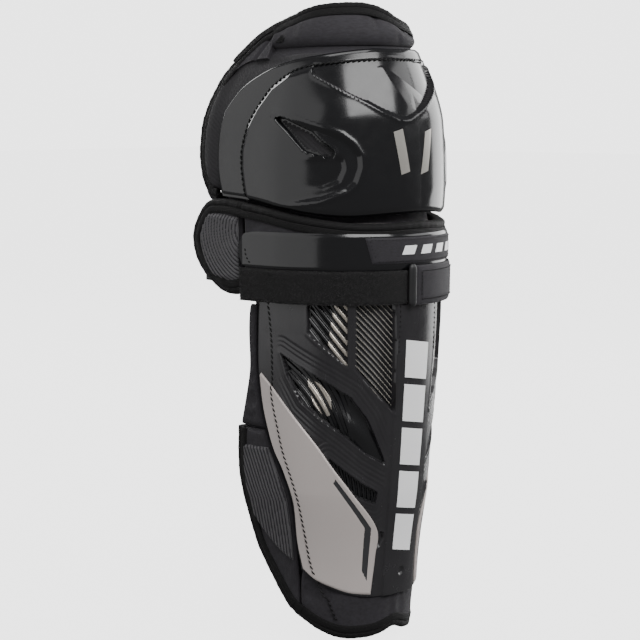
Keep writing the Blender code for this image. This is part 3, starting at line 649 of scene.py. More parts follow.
def weave(material, pitch, strength, lean=0.0):
    """Woven cloth: two crossed sets of threads pitch millimetres apart."""
    mapping = turned_mm(material, lean)
    crossed = add_node(material, "ShaderNodeMath", operation="MULTIPLY")
    for socket, direction in zip(crossed.inputs, ("X", "Y")):
        wave = thread_wave(material, mapping, direction, pitch, 0.6)
        material.node_tree.links.new(wave.outputs["Fac"], socket)
    bump(material, crossed, "Value", strength, 0.0004)


def ribs(material, pitch, strength, direction="X", lean=0.0):
    """Parallel knitted ribs."""
    wave = thread_wave(material, turned_mm(material, lean), direction, pitch, 0.3)
    bump(material, wave, "Fac", strength, 0.0006)


# Shader values that the cloths share.
CLOTH = {"Sheen_Weight": 0.06, "Specular_IOR_Level": 0.2}
PILE = {"Sheen_Weight": 0.05, "Specular_IOR_Level": 0.2}
KNIT = {"Sheen_Weight": 0.1, "Specular_IOR_Level": 0.2}
# Short name: material name, base colour, roughness, other shader values.
FINISHES = {
    "gloss": ("gloss_shell", (0.006, 0.006, 0.007), 0.18, {"Coat_Weight": 0.12, "Coat_Roughness": 0.08}),
    "shin": ("shin_shell_plastic", (0.021, 0.02, 0.022), 0.27, {}),
    # vent_shade: louvres behind the knee vent, near black and dull; partly their own black, partly painted
    # shade of the deep vent.
    "vent_shade": ("vent_shade_black", (0.002, 0.002, 0.002), 0.6, {"Specular_IOR_Level": 0.1}),
    "insert": ("window_insert_black", (0.008, 0.008, 0.009), 0.18, {}),
    # glint: painted glints, pale metallic patches on the window inserts that stand for reflections.
    "glint": ("window_insert_painted_glint", (0.46, 0.42, 0.37), 0.28, {"Metallic": 0.7}),
    # crest: painted highlight on the tops of the inserts' fine ribs.
    "crest": ("insert_crest_highlight", (0.24, 0.225, 0.2), 0.3, {}),
    "charcoal": ("charcoal_cloth", (0.028, 0.026, 0.03), 0.75, CLOTH),
    "side_cloth": ("ribbed_side_cloth", (0.024, 0.023, 0.025), 0.75, CLOTH),
    "tape": ("edge_tape", (0.004, 0.004, 0.004), 0.7, {"Sheen_Weight": 0.03, "Specular_IOR_Level": 0.2}),
    "thread": ("black_thread", (0.002, 0.002, 0.002), 0.6, {"Specular_IOR_Level": 0.25}),
    "knit": ("ribbed_knit", (0.088, 0.086, 0.09), 0.75, KNIT),
    "liner": ("liner_knit", (0.155, 0.145, 0.143), 0.85, KNIT),
    "loop": ("loop_pile", (0.006, 0.006, 0.006), 0.9, PILE),
    "fibre": ("loop_fibre", (0.04, 0.039, 0.04), 0.9, KNIT),
    "elastic": ("elastic_webbing", (0.008, 0.008, 0.009), 0.8, PILE),
    "taupe": ("taupe_film", (0.5, 0.45, 0.43), 0.42, {"Metallic": 0.15}),
    "dark_print": ("dark_print", (0.03, 0.03, 0.033), 0.4, {}),
    "white": ("white_print", (0.95, 0.95, 0.96), 0.4, {}),
    "silver": ("silver_print", (0.5, 0.48, 0.44), 0.32, {"Metallic": 0.75}),
    "rubber": ("black_rubber", (0.008, 0.008, 0.009), 0.5, {}),
    "foam": ("foam_core", (0.11, 0.11, 0.115), 0.9, {}),
}
# Two tones, the scale of their drift and its detail.
TONES = {
    "shin": ((0.019, 0.018, 0.02), (0.024, 0.023, 0.025), 9),
    "glint": ((0.4, 0.36, 0.31), (0.62, 0.58, 0.52), 60),
    "charcoal": ((0.024, 0.022, 0.025), (0.033, 0.031, 0.036), 24),
    "tape": ((0.0035, 0.0033, 0.0035), (0.006, 0.0055, 0.006), 40),
    "knit": ((0.07, 0.068, 0.072), (0.11, 0.108, 0.113), 55),
    "liner": ((0.13, 0.12, 0.119), (0.18, 0.17, 0.168), 30),
    "fibre": ((0.012, 0.012, 0.012), (0.085, 0.083, 0.085), 700),
    "taupe": ((0.465, 0.418, 0.4), (0.53, 0.48, 0.46), 420, 2.0),
    "silver": ((0.44, 0.42, 0.38), (0.58, 0.56, 0.52), 160),
}
# Lowest and highest roughness, and the scale of the wear.
WEAR = {
    "gloss": (0.15, 0.23, 14), "shin": (0.18, 0.3, 18), "vent_shade": (0.4, 0.65, 30), "insert": (0.14, 0.26, 20),
    "crest": (0.25, 0.4, 80), "thread": (0.5, 0.75, 300), "taupe": (0.38, 0.52, 25),
    "dark_print": (0.34, 0.5, 40), "white": (0.34, 0.5, 40), "rubber": (0.42, 0.6, 60),
}
# Thread pitch in millimetres, strength and lean of the weave.
WEAVES = {
    "charcoal": (0.55, 0.35, 0.785), "tape": (0.8, 0.6), "knit": (0.9, 0.6, 0.5), "liner": (1.3, 0.7, 0.785),
}


def build_materials():
    """Every finish, by its short name."""
    made = {}
    for key, (name, colour, roughness, values) in FINISHES.items():
        made[key] = make_material(name, colour, roughness, **values)
    for helper, table in ((mottle, TONES), (wear_roughness, WEAR), (weave, WEAVES)):
        for key, values in table.items():
            helper(made[key], *values)
    scratched(made["gloss"], 0.025)
    scratched(made["shin"], 0.05)
    ribs(made["side_cloth"], 3.0, 0.3, "X", 0.9)
    ribs(made["elastic"], 1.2, 0.8, "Y")
    pile = mottle(made["loop"], (0.003, 0.003, 0.003), (0.022, 0.021, 0.022), 500, 6.0)
    bump(made["loop"], pile, "Fac", 1.0, 0.0012)
    cells = add_node(made["foam"], "ShaderNodeTexVoronoi", Scale=900.0)
    bump(made["foam"], cells, "Distance", 0.5, 0.0004)
    return made


MAT = build_materials()


# ---------------------------------------------------------------- hard pieces

def cup_out(angle, height):
    """Relief of the knee cup's outer face."""
    side = np.abs(angle)
    seam = inside(side, height, CUP_SEAM + [(-20, 0.4775), (-20, 0.33), (114, 0.33)])
    out = -0.0024 + 0.0026 * ease(-0.0004, 0.005, seam) + 0.0022 * ease(0.004, 0.05, seam)
    facet = inside(np.abs(angle - FACET_CENTRE), height, FACET)
    out = out + 0.0007 * ridge(facet, 0.0012, 0.0012) * ease(0.476, 0.47, height)
    crease = (angle - (6 + (height - 0.44) * 470)) * DEGREE
    sunk = 0.001 + 0.05 * np.clip(height - 0.429, 0, 0.05) + 0.09 * np.abs(crease)
    out = out - sunk * ease(-0.0006, 0.0016, facet) * ease(0.479, 0.474, height)
    hood = inside(side, height, CUP_HOOD)
    step = 0.0009 * ridge(hood, 0.0014, 0.0016) - 0.0026 * ease(-0.001, 0.0034, hood)
    out = out + step * (1 - ease(58, 100, side))
    bowl = inside(side, height, CUP_BOWL)
    out = out - 0.0022 * ease(-0.0006, 0.004, bowl) * (1 - ease(52, 80, side))
    vent = inside(side, height, CUP_VENT)
    out = out + 0.0005 * ridge(vent, 0.0012, 0.001)
    out = out - 0.0085 * np.clip(vent / WALL, 0, 1)
    lower = np.interp(side, [a for a, _ in CUP_LOWER], [h for _, h in CUP_LOWER])
    return out - 0.0016 * (1 - ease(0.0, 0.0045, height - lower))


def shin_out(angle, height):
    """Relief of the shin shell's outer face."""
    side = np.abs(angle)
    out = 0.0018 * ease(-0.0007, 0.0009, (17 - side) * DEGREE)
    around = -np.maximum(inside(side, height, WINDOW_EYE), inside(side, height, WINDOW_LOW))
    grooves = 0.5 - 0.5 * np.cos(2 * math.pi * around / GROOVE_PITCH)
    near = ease(0.001, 0.0022, around) * (1 - ease(0.013, 0.015, around))
    where = near * ease(19, 22, side) * (1 - ease(84, 92, side))
    out = out - 0.00045 * grooves * where
    for window in WINDOWS:
        gap = inside(side, height, window)
        out = out + 0.0004 * ridge(gap, 0.0014, 0.0011)
        out = out - 0.007 * np.clip(gap / WALL, 0, 1)
    slot = inside(angle, height, SLOT)
    out = out + 0.0005 * ridge(slot, 0.001, 0.0008) - 0.0022 * ease(-0.0002, 0.0006, slot)
    rivet = np.hypot(angle * RIVET_DEGREE, height - RIVET_HEIGHT)
    return out - 0.0016 * (1 - ease(0.0026, 0.0034, rivet))


def build_cup():
    """Gloss shell with its seam, printed bars and vent louvres."""
    plain = whole(CUP_LOWER, CUP_UPPER, HARD_STEP, CUP_REAR)
    rim = 0.001 * (1 - ease(0, 0.0016, edge_distance(*plain)))
    angle, height = grid = snap(plain, [CUP_VENT], (0.0, WALL), SNAP_REACH)
    hole = inside(np.abs(angle), height, CUP_VENT) > OPEN
    cup = slab("cup", grid, cup_out(angle, height) - rim, -0.0034, MAT["gloss"], hole, 70)
    attach(cup, "knee", "gloss_black", "knee_cup_shell")
    stitches("cup_seam_thread", mirrored([(0, 0.4775)] + CUP_SEAM[-2::-1]), cup_out, "knee", *SEAM_STITCH)
    for label, start, lean in (("left", 20, -4.5), ("right", -4, 4.5)):
        foot = [(start + lean, 0.386), (start + lean - 6, 0.3885)]
        bar = patch(foot, [(start, 0.4195), (start - 6, 0.422)], HARD_STEP)
        level = cup_out(*bar)
        piece = slab("cup_bar_" + label, bar, level + 0.00022, level - 0.0004, MAT["silver"])
        attach(piece, "knee", "silver_print", "knee_bar_" + label)
    for label, sign in SIDES:
        grid = half([(97, 0.418), (48, 0.39)], [(99, 0.439), (48, 0.416)], 0.0009, sign)
        angle, height = grid
        rib = np.sin((np.abs(angle) * DEGREE * 0.8 - height * 0.6) * 2 * math.pi / LOUVRE_PITCH)
        # Near black and dull louvres: partly their own black, partly painted shade of the deep vent.
        screen = slab("cup_vent_louvre_" + label, grid, -0.0066 + 0.0004 * rib, -0.0076, MAT["vent_shade"])
        attach(screen, "knee", "satin_black", "knee_vent_screen_" + label)


def screen_out(angle, height):
    """Relief of the ribbed insert behind the shin windows, where painted glints go, and where painted
    highlights mark the fine rib crests.
    """
    side = np.abs(angle)
    x = -side * DEGREE
    ribbed = inside(side, height, WINDOW_RIBBED) > -0.003
    slotted = inside(side, height, WINDOW_SLOTTED) > -0.003
    eye = inside(side, height, WINDOW_EYE) > -0.003
    low = inside(side, height, WINDOW_LOW) > -0.003
    fine = np.sin((x * 0.7 + height * 0.71) * 2 * math.pi / FINE_PITCH)
    coarse = np.sin((x * 0.76 + height * 0.65) * 2 * math.pi / COARSE_PITCH)
    twist = 0.4 * (height - 0.2) * (side - 60) / 30
    slant = np.sin((x * 0.86 + height * 0.5 + twist) * 2 * math.pi / SLANT_PITCH)
    flat_slant = 0.0008 * np.clip(slant * 2.0, -1, 1)
    bulge = np.exp(-(((side - 44) / 14) ** 2 + ((height - 0.187 + (side - 44) * -0.0011) / 0.0085) ** 2))
    level = -0.0036 + 0 * side
    level = np.where(ribbed, level + 0.0005 * fine, level)
    step = 0.0012 * ease(58, 50, side)
    level = np.where(slotted, level + 0.0009 * np.clip(coarse * 1.6, -1, 1) + step, level)
    level = np.where(eye, level + flat_slant * ease(40, 50, side), level)
    level = np.where(eye, level + 0.004 * bulge, level)
    level = np.where(low, level + flat_slant, level)
    # Painted glints: pale patches on the coarse rib tops of the slotted window and on the eye patch.
    painted_glint = slotted & (side < 56.5 - (height - 0.262) * 120) & (coarse > -0.35)
    painted_glint = painted_glint | (eye & (inside(side, height, EYE_PATCH) > 0) & (slant > -0.5))
    # Fine rib tops of the ribbed window: painted highlights.
    return level, painted_glint, ribbed & (fine > 0.3)


def build_shin():
    """Moulded shell with its window inserts, side panels, seams and front blocks."""
    plain = whole(SHIN_LOWER, SHIN_UPPER, HARD_STEP, SHIN_REAR)
    rim = 0.0008 * (1 - ease(0, 0.0014, edge_distance(*plain)))
    angle, height = grid = snap(plain, WINDOWS, (0.0, WALL), SNAP_REACH)
    side = np.abs(angle)
    hole = np.zeros(angle.shape, bool)
    for window in WINDOWS:
        hole |= inside(side, height, window) > OPEN
    shell = slab("shin_armour", grid, shin_out(angle, height) - rim, -0.0032, MAT["shin"], hole, 60)
    attach(shell, "shin", "satin_black", "shin_shell", "ankle_rivet")
    for label, sign in SIDES:
        grid = half([(12, 0.115), (44, 0.12), (60, 0.148), (90, 0.208)],
                    [(12, 0.289), (40, 0.289), (60, 0.289), (90, 0.289)], 0.0006, sign)
        level, painted_glint, crest_highlights = screen_out(*grid)
        screen = slab("window_insert_" + label, grid, level, -0.0056, MAT["insert"], None, 60)
        # Painted glints on the insert.
        paint(screen, painted_glint, MAT["glint"])
        # Painted highlights on the fine rib crests.
        paint(screen, crest_highlights, MAT["crest"])
        attach(screen, "shin", "grey_knit", "window_screen_" + label, "vent_pod_" + label)
        build_side_panel(label, sign)
        stitches("shin_seam_thread_" + label, turned(SHIN_SEAM, sign), side_level, "shin", *SEAM_STITCH)
        crest = turned([(-15.0, 0.284), (-15.5, 0.242)], sign)
        stitches("ridge_thread_" + label, crest, shin_out, "shin", *RIDGE_STITCH)
    for index in range(BLOCK_COUNT):
        low = BLOCK_LOWEST + index * BLOCK_PITCH
        high = low + BLOCK_HEIGHT
        grid = patch([(-8.5, low), (10.5, low + BLOCK_SLANT)],
                     [(-8.5, high), (10.5, high + BLOCK_SLANT)], HARD_STEP)
        block = slab("front_bar_%d" % (index + 1), grid, 0.00205, 0.0015, MAT["white"])
        attach(block, "shin", "white_print", "front_block_%d" % (index + 1))


def side_level(angle, height):
    """Top of the side panel where there is one, else the shell's face."""
    panel = inside(np.abs(angle), height, SIDE_FRONT + SIDE_REAR[::-1])
    return np.maximum(shin_out(angle, height), -0.0002 + 0.0013 * ease(-0.0008, 0.0004, panel))


def build_side_panel(label, sign):
    """Film panel with a printed stripe."""
    plain = half(SIDE_LOWER, [SIDE_FRONT[-1], SIDE_REAR[-1]], HARD_STEP, sign, SIDE_FRONT, SIDE_REAR)
    border = edge_distance(*plain)
    angle, height = grid = snap(plain, [CHEVRON], (0.0,), SNAP_REACH)
    chevron = inside(np.abs(angle), height, CHEVRON)
    out = 0.0003 + 0.0008 * ease(0, 0.0012, border) - 0.0002 * ease(-0.0003, 0.0003, chevron)
    panel = slab("side_film_" + label, grid, out, -0.0004, MAT["taupe"])
    paint(panel, chevron > -0.00005, MAT["dark_print"])
    attach(panel, "shin", "taupe_film", "side_panel_" + label)


def band_out(angle, height):
    """Relief of the moulded plate: a lip along its edges, thinner toward its ends."""
    edge = np.minimum(height - 0.3114, 0.3398 - height)
    out = 0.003 + 0.001 * ease(0.0, 0.004, edge)
    lip = 0.0006 * ridge(edge, -0.0016, 0.0012)
    return out * (0.75 + 0.25 * ease(118, 113, np.abs(angle))) + lip


def build_band():
    """Moulded plate on the wrap, and the sewn label with its marks."""
    grid = whole(BAND_LOWER, BAND_UPPER, HARD_STEP, BAND_REAR)
    band = slab("tendon_plate", grid, band_out(*grid), 0.0019, MAT["gloss"])
    attach(band, "shin", "gloss_black", "tendon_band")
    for label, sign in SIDES:
        row = turned([(111.5, 0.327), (110.5, 0.32), (106.5, 0.313)], sign)
        stitches("band_thread_" + label, row, band_out, "shin", *BAND_STITCH)
    grid = patch(LABEL_LOWER, LABEL_UPPER, HARD_STEP)
    out = 0.0042 + 0.0009 * ease(0, 0.0016, edge_distance(*grid))
    badge = slab("band_patch", grid, out, 0.0038, MAT["charcoal"])
    attach(badge, "shin", "charcoal_fabric", "band_label")
    for first, second in zip(LABEL_ROW, LABEL_ROW[1:]):
        stitches("patch_thread", [first, second], 0.005, "shin", *LABEL_STITCH)
    for start in (16, 3, -10, -23):
        mark = patch([(start, 0.3235), (start - 8, 0.3235)],
                     [(start - 2, 0.3305), (start - 10, 0.3305)], HARD_STEP)
        piece = slab("patch_mark_%d" % (start + 30), mark, 0.0054, 0.005, MAT["white"])
        attach(piece, "shin", "white_print")


# ---------------------------------------------------------------- padded pieces

def puff(thing, border, limit):
    """Cloth pass: the pad is inflated with its border held, so seams pull in and wrinkle."""
    mesh = thing.data
    rest = np.array([v.co[:] for v in mesh.vertices])
    pin = thing.vertex_groups.new(name="held")
    for index in np.nonzero(border < PUFF_HELD)[0]:
        pin.add([int(index)], 1.0, "REPLACE")
    cloth = thing.modifiers.new("cloth", "CLOTH")
    cloth.settings.vertex_group_mass = "held"
    cloth.settings.quality = 5
    cloth.settings.use_pressure = True
    cloth.settings.uniform_pressure_force = PUFF_PRESSURE
    cloth.settings.shrink_min = -0.05
    cloth.settings.tension_stiffness = 12
    cloth.settings.bending_stiffness = 0.6
    cloth.settings.effector_weights.gravity = 0
    cloth.collision_settings.use_collision = False
    cloth.point_cache.frame_start = 1
    cloth.point_cache.frame_end = PUFF_FRAMES
    scene = bpy.context.scene
    for step in range(1, PUFF_FRAMES + 1):
        scene.frame_set(step)
    settled = thing.evaluated_get(bpy.context.evaluated_depsgraph_get()).data
    moved = np.array([v.co[:] for v in settled.vertices]) - rest
    thing.modifiers.remove(cloth)
    scene.frame_set(1)
    length = np.linalg.norm(moved, axis=1, keepdims=True)
    moved *= np.minimum(1, limit / np.maximum(length, 1e-9))
    mesh.vertices.foreach_set("co", (rest + moved).ravel())
    mesh.update()


def rounded(border, radius):
    """Quarter round from 0 at the border to 1 at radius from it."""
    return np.sqrt(1 - (1 - np.clip(border / radius, 0, 1)) ** 2)


def pad(name, grid, layer, cloth, body, node, radius, limit, relief=None, quilting=None):
    """Padded piece: rounded toward its border, then inflated by up to limit, then smoothed."""
    angle, height = grid
    border = edge_distance(angle, height)
    inner, outer = LAYER[layer]
    middle = (inner + outer) / 2
    thick = (outer - inner) / 2 * (0.3 + 0.7 * rounded(border, radius))
    outer = middle + thick
    inner = middle - thick
    held = border
    if relief is not None:
        outer = outer + relief(angle, height)
    if quilting is not None:
        sewn = quilting(angle, height)
        inner = inner + QUILT_DEPTH * (1 - ease(0, 0.006, sewn))
        held = np.minimum(border, sewn)
    thing = slab(name, grid, outer, inner, MAT[cloth], None, 0)
    puff(thing, np.concatenate([border.ravel(), held.ravel()]), limit)
    smooth = thing.modifiers.new("smooth", "SUBSURF")
    smooth.levels = 1
    smooth.render_levels = 1
    attach(thing, body, PAD_SLOTS[cloth], node)


def bind(name, curve, layer, sign, body, node):
    """Edge tape that rides on one body; its roll stands for the CAD binding."""
    roll, strip, thread = binding(name, curve, LAYER[layer], sign)
    attach(roll, body, "edge_tape", node)
    attach(strip, body, "edge_tape")
    attach(thread, body, "edge_tape")


def build_knee_soft():
    """Knee pad with its bound edges, and the foam ring inside."""

    def rear_lift(angle, height):
        """The pad's rear edge stands up to the level of the shell's flange."""
        return 0.0022 * ease(140, 146, np.abs(angle))

    grid = whole(PAD_LOWER, PAD_UPPER, 0.0042, PAD_REAR)
    pad("knee_cushion", grid, "knee", "side_cloth", "knee", "knee_pad", 0.006, 0.0016, rear_lift)
    edge = [(141.5, 0.3672), (145, 0.3682)] + PAD_REAR[:-1] + [(147.5, 0.4675), (143, 0.476)]
    for label, sign in SIDES:
        bind("knee_edge_" + label, turned(edge, sign), "knee_edge", sign, "knee", "knee_pad_binding_" + label)
    angle, height = grid = whole(RING_LOWER, RING_UPPER, 0.0022)
    hole = inside(angle, height, RING_HOLE)
    border = np.minimum(edge_distance(angle, height), np.maximum(-hole, 0))
    thick = RING_HALF * (0.1 + 0.9 * rounded(border, 0.006))
    ring = slab("knee_ring", grid, RING_DEPTH + thick, RING_DEPTH - thick, MAT["liner"], hole > 0.0002, 0)
    attach(ring, "knee", "eva_foam", "knee_ring_pad")


def build_flap():
    """Thigh flap with its bound edge."""
    grid = patch(FLAP_LOWER, FLAP_UPPER, PAD_STEP)
    pad("thigh_cushion", grid, "flap", "charcoal", "flap", "thigh_flap", 0.006, 0.0022)
    bind("thigh_edge", FLAP_UPPER, "flap_edge", -1, "flap", "thigh_flap_binding")


# ---------------------------------------------------------------- cloth across the joints

def bridge(name, grid, outer, inner, hinge):
    """Cloth sewn across a joint, fixed in place where it is built."""
    thing = slab(name, grid, outer, inner, MAT["charcoal"], None, 60)
    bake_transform(thing)


def bridge_edge(name, curve, layer, sign, hinge):
    """Edge tape that runs across a joint."""
    for part in binding(name, curve, LAYER[layer], sign):
        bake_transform(part)


def beside(first, last, sign):
    """Two points on the form either side of a straight sewn edge: one ahead of it, one behind."""
    angles = np.array([first[0], last[0]], float) * sign
    ends = place(angles, np.array([first[1], last[1]]), np.array([-0.009, -0.009]))
    middle = ends.mean(0)
    along = ends[1] - ends[0]
    rear = np.array([0.0, along[2], -along[1]])
    rear *= CALF_SEAM_REACH / np.linalg.norm(rear)
    return tuple(middle - rear), tuple(middle + rear)


def build_flap_fold(label, sign):
    """Cloth from the knee pad to the thigh flap, its open rear corner and the tacks that close it."""
    angle, height = grid = half(FOLD_LOWER, FOLD_UPPER[label], 0.0025, sign)
    fold = -0.0012 * ridge(height, -0.4868, 0.0022)
    bridge("fold_cloth_" + label, grid, -0.0066 + fold, -0.011, FLAP_HINGE)
    top = CORNER_UPPER[label]
    foot = [(top[0][0] - 1, 0.479), (120, 0.4785), (128, 0.4775), (135, 0.4745), (142, 0.469)]
    raised = [(angle + 1.0, height + 0.0026) for angle, height in top]
    angle, height = grid = half(foot, raised, 0.0016, sign)
    crease = ridge((np.abs(angle) - 121) * DEGREE + (height - 0.489) * 0.6, 0, 0.0018)
    bridge("corner_cloth_" + label, grid, -0.0026 - 0.0018 * crease, -0.0125, FLAP_CORNER)
    edge = [(143.5, 0.475)] + [(angle, height - 0.0006) for angle, height in top[::-1]]
    bridge_edge("corner_edge_" + label, turned(edge, sign), "corner_edge", -sign, FLAP_CORNER)
    for row in range(5):
        shift = row * 1.5
        tack = turned([(100 + shift, 0.4965), (104 + shift, 0.4905)], sign)
        stitches("fold_tack_%s_%d" % (label, row), tack, -0.0019, "flap", *TACK_STITCH)


def build_wing_fold(label, sign):
    """Cloth and tape from the wrap to its wing."""
    hinge = (sign * -0.08, 0.036, 0.33), (sign * -0.08, 0.046, 0.33)
    foot = WING_SEAM_FOOT[label]
    grid = half([(111, foot), (124, foot)], [(111, 0.352), (124, 0.355)], FOLD_STEP, sign)
    bridge("wing_hinge_cloth_" + label, grid, -0.009, -0.0102, hinge)
    edge = turned([(113, 0.3556), (117, 0.3566), (121, 0.3572)], sign)
    bridge_edge("wing_hinge_edge_" + label, edge, "wing_hinge_edge", -sign, hinge)


def build_calf_fold(label, sign):
    """Cloth and tape from the shin to the calf wing, and the backing of the fixed strip above it."""
    for part, (first, last) in (("low", CALF_SEAM_LOW), ("high", CALF_SEAM_HIGH)):
        front = [(first[0] - 6, first[1]), (last[0] - 6, last[1])]
        rear = [(first[0] + 5, first[1]), (last[0] + 5, last[1])]
        grid = between(front, rear, FOLD_STEP, sign)
        bridge("calf_fold_cloth_%s_%s" % (part, label), grid, -0.0086, -0.0098,
               beside(first, last, sign))
    edge = turned([(84.5, 0.0302), (88.5, 0.0322), (93.5, 0.0366)], sign)
    bridge_edge("calf_corner_edge_" + label, edge, "calf_corner_edge", sign,
                beside(*CALF_SEAM_LOW, sign))
    grid = half([(97, 0.164), (131, 0.164)], [(108, 0.187), (130, 0.187)], FOLD_STEP, sign)
    bridge("calf_hinge_cloth_" + label, grid, -0.0084, -0.0096, CALF_TOP)
    grid = half([(98, 0.176), (116, 0.176)], [(98, 0.288), (112, 0.288)], FOLD_STEP, sign)
    backing = slab("calf_strip_cloth_" + label, grid, -0.0082, -0.0094, MAT["charcoal"], None, 60)
    attach(backing, "shin", "charcoal_fabric")


def build_knee_fold(label, sign):
    """Pleated cloth from the wrap to the knee pad."""
    angle, height = grid = half([(0, 0.338), (60, 0.342), (110, 0.348), (149, 0.35)],
                                [(0, 0.384), (60, 0.384), (110, 0.385), (150, 0.385)], 0.003, sign)
    pleat = 0.0006 * np.cos((height - 0.338) * 2 * math.pi / 0.009)
    deep = -0.0125 - 0.0036 * ease(0.352, 0.364, height)
    bridge("flex_cloth_" + label, grid, deep + pleat, deep - 0.0012, KNEE_FOLD)


def build_folds():
    """Every cloth that closes the gap a joint opens."""
    for label, sign in SIDES:
        build_flap_fold(label, sign)
    for label, sign in SIDES:
        build_wing_fold(label, sign)
        build_calf_fold(label, sign)
    for label, sign in SIDES:
        build_knee_fold(label, sign)


# ---------------------------------------------------------------- wrap, wings, ankle, calf, liner

def build_wrap():
    """Padded band below the knee, and the tongue behind the cup."""
    grid = whole(WRAP_LOWER, WRAP_UPPER, PAD_STEP)
    pad("wrap_cushion", grid, "wrap", "charcoal", "shin", "wrap_pad", 0.005, 0.0006)
    bind("wrap_edge", mirrored(WRAP_UPPER), "wrap_edge", -1, "shin", "wrap_binding")
    angle, height = grid = whole(TONGUE_LOWER, TONGUE_UPPER, 0.004)
    step_in = -0.0082 * ease(0.344, 0.358, height)
    tongue = slab("knee_gusset", grid, -0.0104 + step_in, -0.0122 + step_in, MAT["liner"])
    attach(tongue, "shin", "grey_knit", "knee_tongue")


def build_wing(label, lower, upper, rear, sign):
    """Wing of the wrap: pad, ribbed knit face and bound edge."""
    wing = "wing_" + label
    grid = half(lower, upper, 0.0032, sign, None, rear)
    pad("wing_cushion_" + label, grid, "wing", "charcoal", wing, "wing_pad_" + label, 0.006, 0.0004)
    angle, height = half(lower, upper, 0.0006, sign, None, rear)
    rows = slice(int(angle.shape[0] * 0.1), int(angle.shape[0] * 0.9))
    columns = slice(3, int(angle.shape[1] * 0.9))
    angle, height = angle[rows, columns], height[rows, columns]
    arc = np.hypot((np.abs(angle) - 100) * DEGREE * 0.74, height - 0.34) * 2 * math.pi / WING_PITCH
    border = edge_distance(angle, height)
    out = -0.0002 + 0.0014 * ease(0, 0.004, border) + 0.0005 * np.cos(arc)
    knit = slab("wing_rib_knit_" + label, (angle, height), out, -0.0014, MAT["knit"], None, 60)
    # Rib valleys take the charcoal cloth: painted shade between the raised ribs.
    paint(knit, np.cos(arc) < 0.15, MAT["charcoal"])
    attach(knit, wing, "grey_knit", "wing_knit_" + label)
    edge = turned(lower[:-1] + rear[:-1] + upper[::-1], sign)
    bind("wing_edge_" + label, edge, "wing", sign, wing, "wing_binding_" + label)


def build_ankle():
    """Padded bumper below the shell, its bound edge and seams."""
    grid = whole(BUMPER_LOWER, BUMPER_UPPER, PAD_STEP, BUMPER_REAR)
    pad("ankle_cushion", grid, "ankle", "charcoal", "shin", "ankle_bumper", 0.004, 0.0012)
    bind("ankle_edge", mirrored(BUMPER_LOWER), "ankle_edge", 1, "shin", "ankle_binding")
    for label, sign in SIDES:
        seam = turned([(61, 0.044), (57, 0.032), (53, 0.0235)], sign)
        stitches("ankle_thread_" + label, seam, -0.0014, "shin", *ANKLE_STITCH)


def build_calf(label, sign):
    """Fixed side strip, and the calf wing with its ribbed knit face and bound edge."""
    calf = "calf_" + label
    strip_rear = [(angle + 3.5 * ease(0.235, 0.195, height), height) for angle, height in CALF_SIDE_REAR]
    grid = between(CALF_SIDE_FRONT, strip_rear, 0.003, sign)
    pad("calf_strip_" + label, grid, "calf", "charcoal", "shin", "calf_side_" + label, 0.004, 0.0008)
    grid = between(CALF_FRONT, CALF_REAR, PAD_STEP, sign)
    pad("calf_cushion_" + label, grid, "calf", "charcoal", calf, "calf_pad_" + label, 0.005, 0.0004)
    angle, height = grid = half(CALF_KNIT_LOWER, CALF_KNIT_UPPER, 0.00055, sign,
                                CALF_KNIT_FRONT, CALF_KNIT_REAR)
    lean = np.abs(angle) * DEGREE - np.interp(height, [0.07, 0.12, 0.164], [0.126, 0.129, 0.145])
    rows = np.cos(lean * 2 * math.pi / CALF_PITCH)
    out = -0.001 + 0.001 * ease(0, 0.002, edge_distance(angle, height)) + 0.00035 * rows
    knit = slab("calf_rib_knit_" + label, grid, out, -0.0022, MAT["knit"], None, 60)
    # Rib valleys take the charcoal cloth: painted shade between the raised ribs.
    paint(knit, rows < 0.2, MAT["charcoal"])
    attach(knit, calf, "grey_knit", "calf_knit_" + label)
    edge = turned([(92.0, 0.035)] + CALF_REAR, sign)
    bind("calf_edge_" + label, edge, "calf", sign, calf, "calf_binding_" + label)


def build_liner():
    """Quilted lining, and the finish of the foam core."""

    def channels(angle, height):
        """Distance from the channels sewn across and up the liner."""
        level = height - 0.055 + 0.00012 * np.abs(angle)
        across = np.abs((level + QUILT_PITCH / 2) % QUILT_PITCH - QUILT_PITCH / 2)
        up = np.abs(np.abs(angle) - 34) * DEGREE
        return np.minimum(across, up)

    grid = whole(LINER_LOWER, LINER_UPPER, 0.0028, LINER_REAR)
    pad("shin_lining", grid, "liner", "liner", "shin", "shin_liner", 0.006, 0.001, None, channels)
    refinish("shin_foam", "foam")


# ---------------------------------------------------------------- straps

def refinish(node_name, finish):
    """Another material on a CAD node that stays."""
    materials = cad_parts[node_name].data.materials
    materials.clear()
    materials.append(MAT[finish])


def fit_uv(node_name):
    """Millimetre coordinates for a CAD node: round the leg and up it."""
    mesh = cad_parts[node_name].data
    layer = mesh.uv_layers.get("mm") or mesh.uv_layers.new(name="mm")
    for corner in mesh.loops:
        x, y, z = mesh.vertices[corner.vertex_index].co
        layer.data[corner.index].uv = (math.atan2(x, -y) * 80, z * 1000)


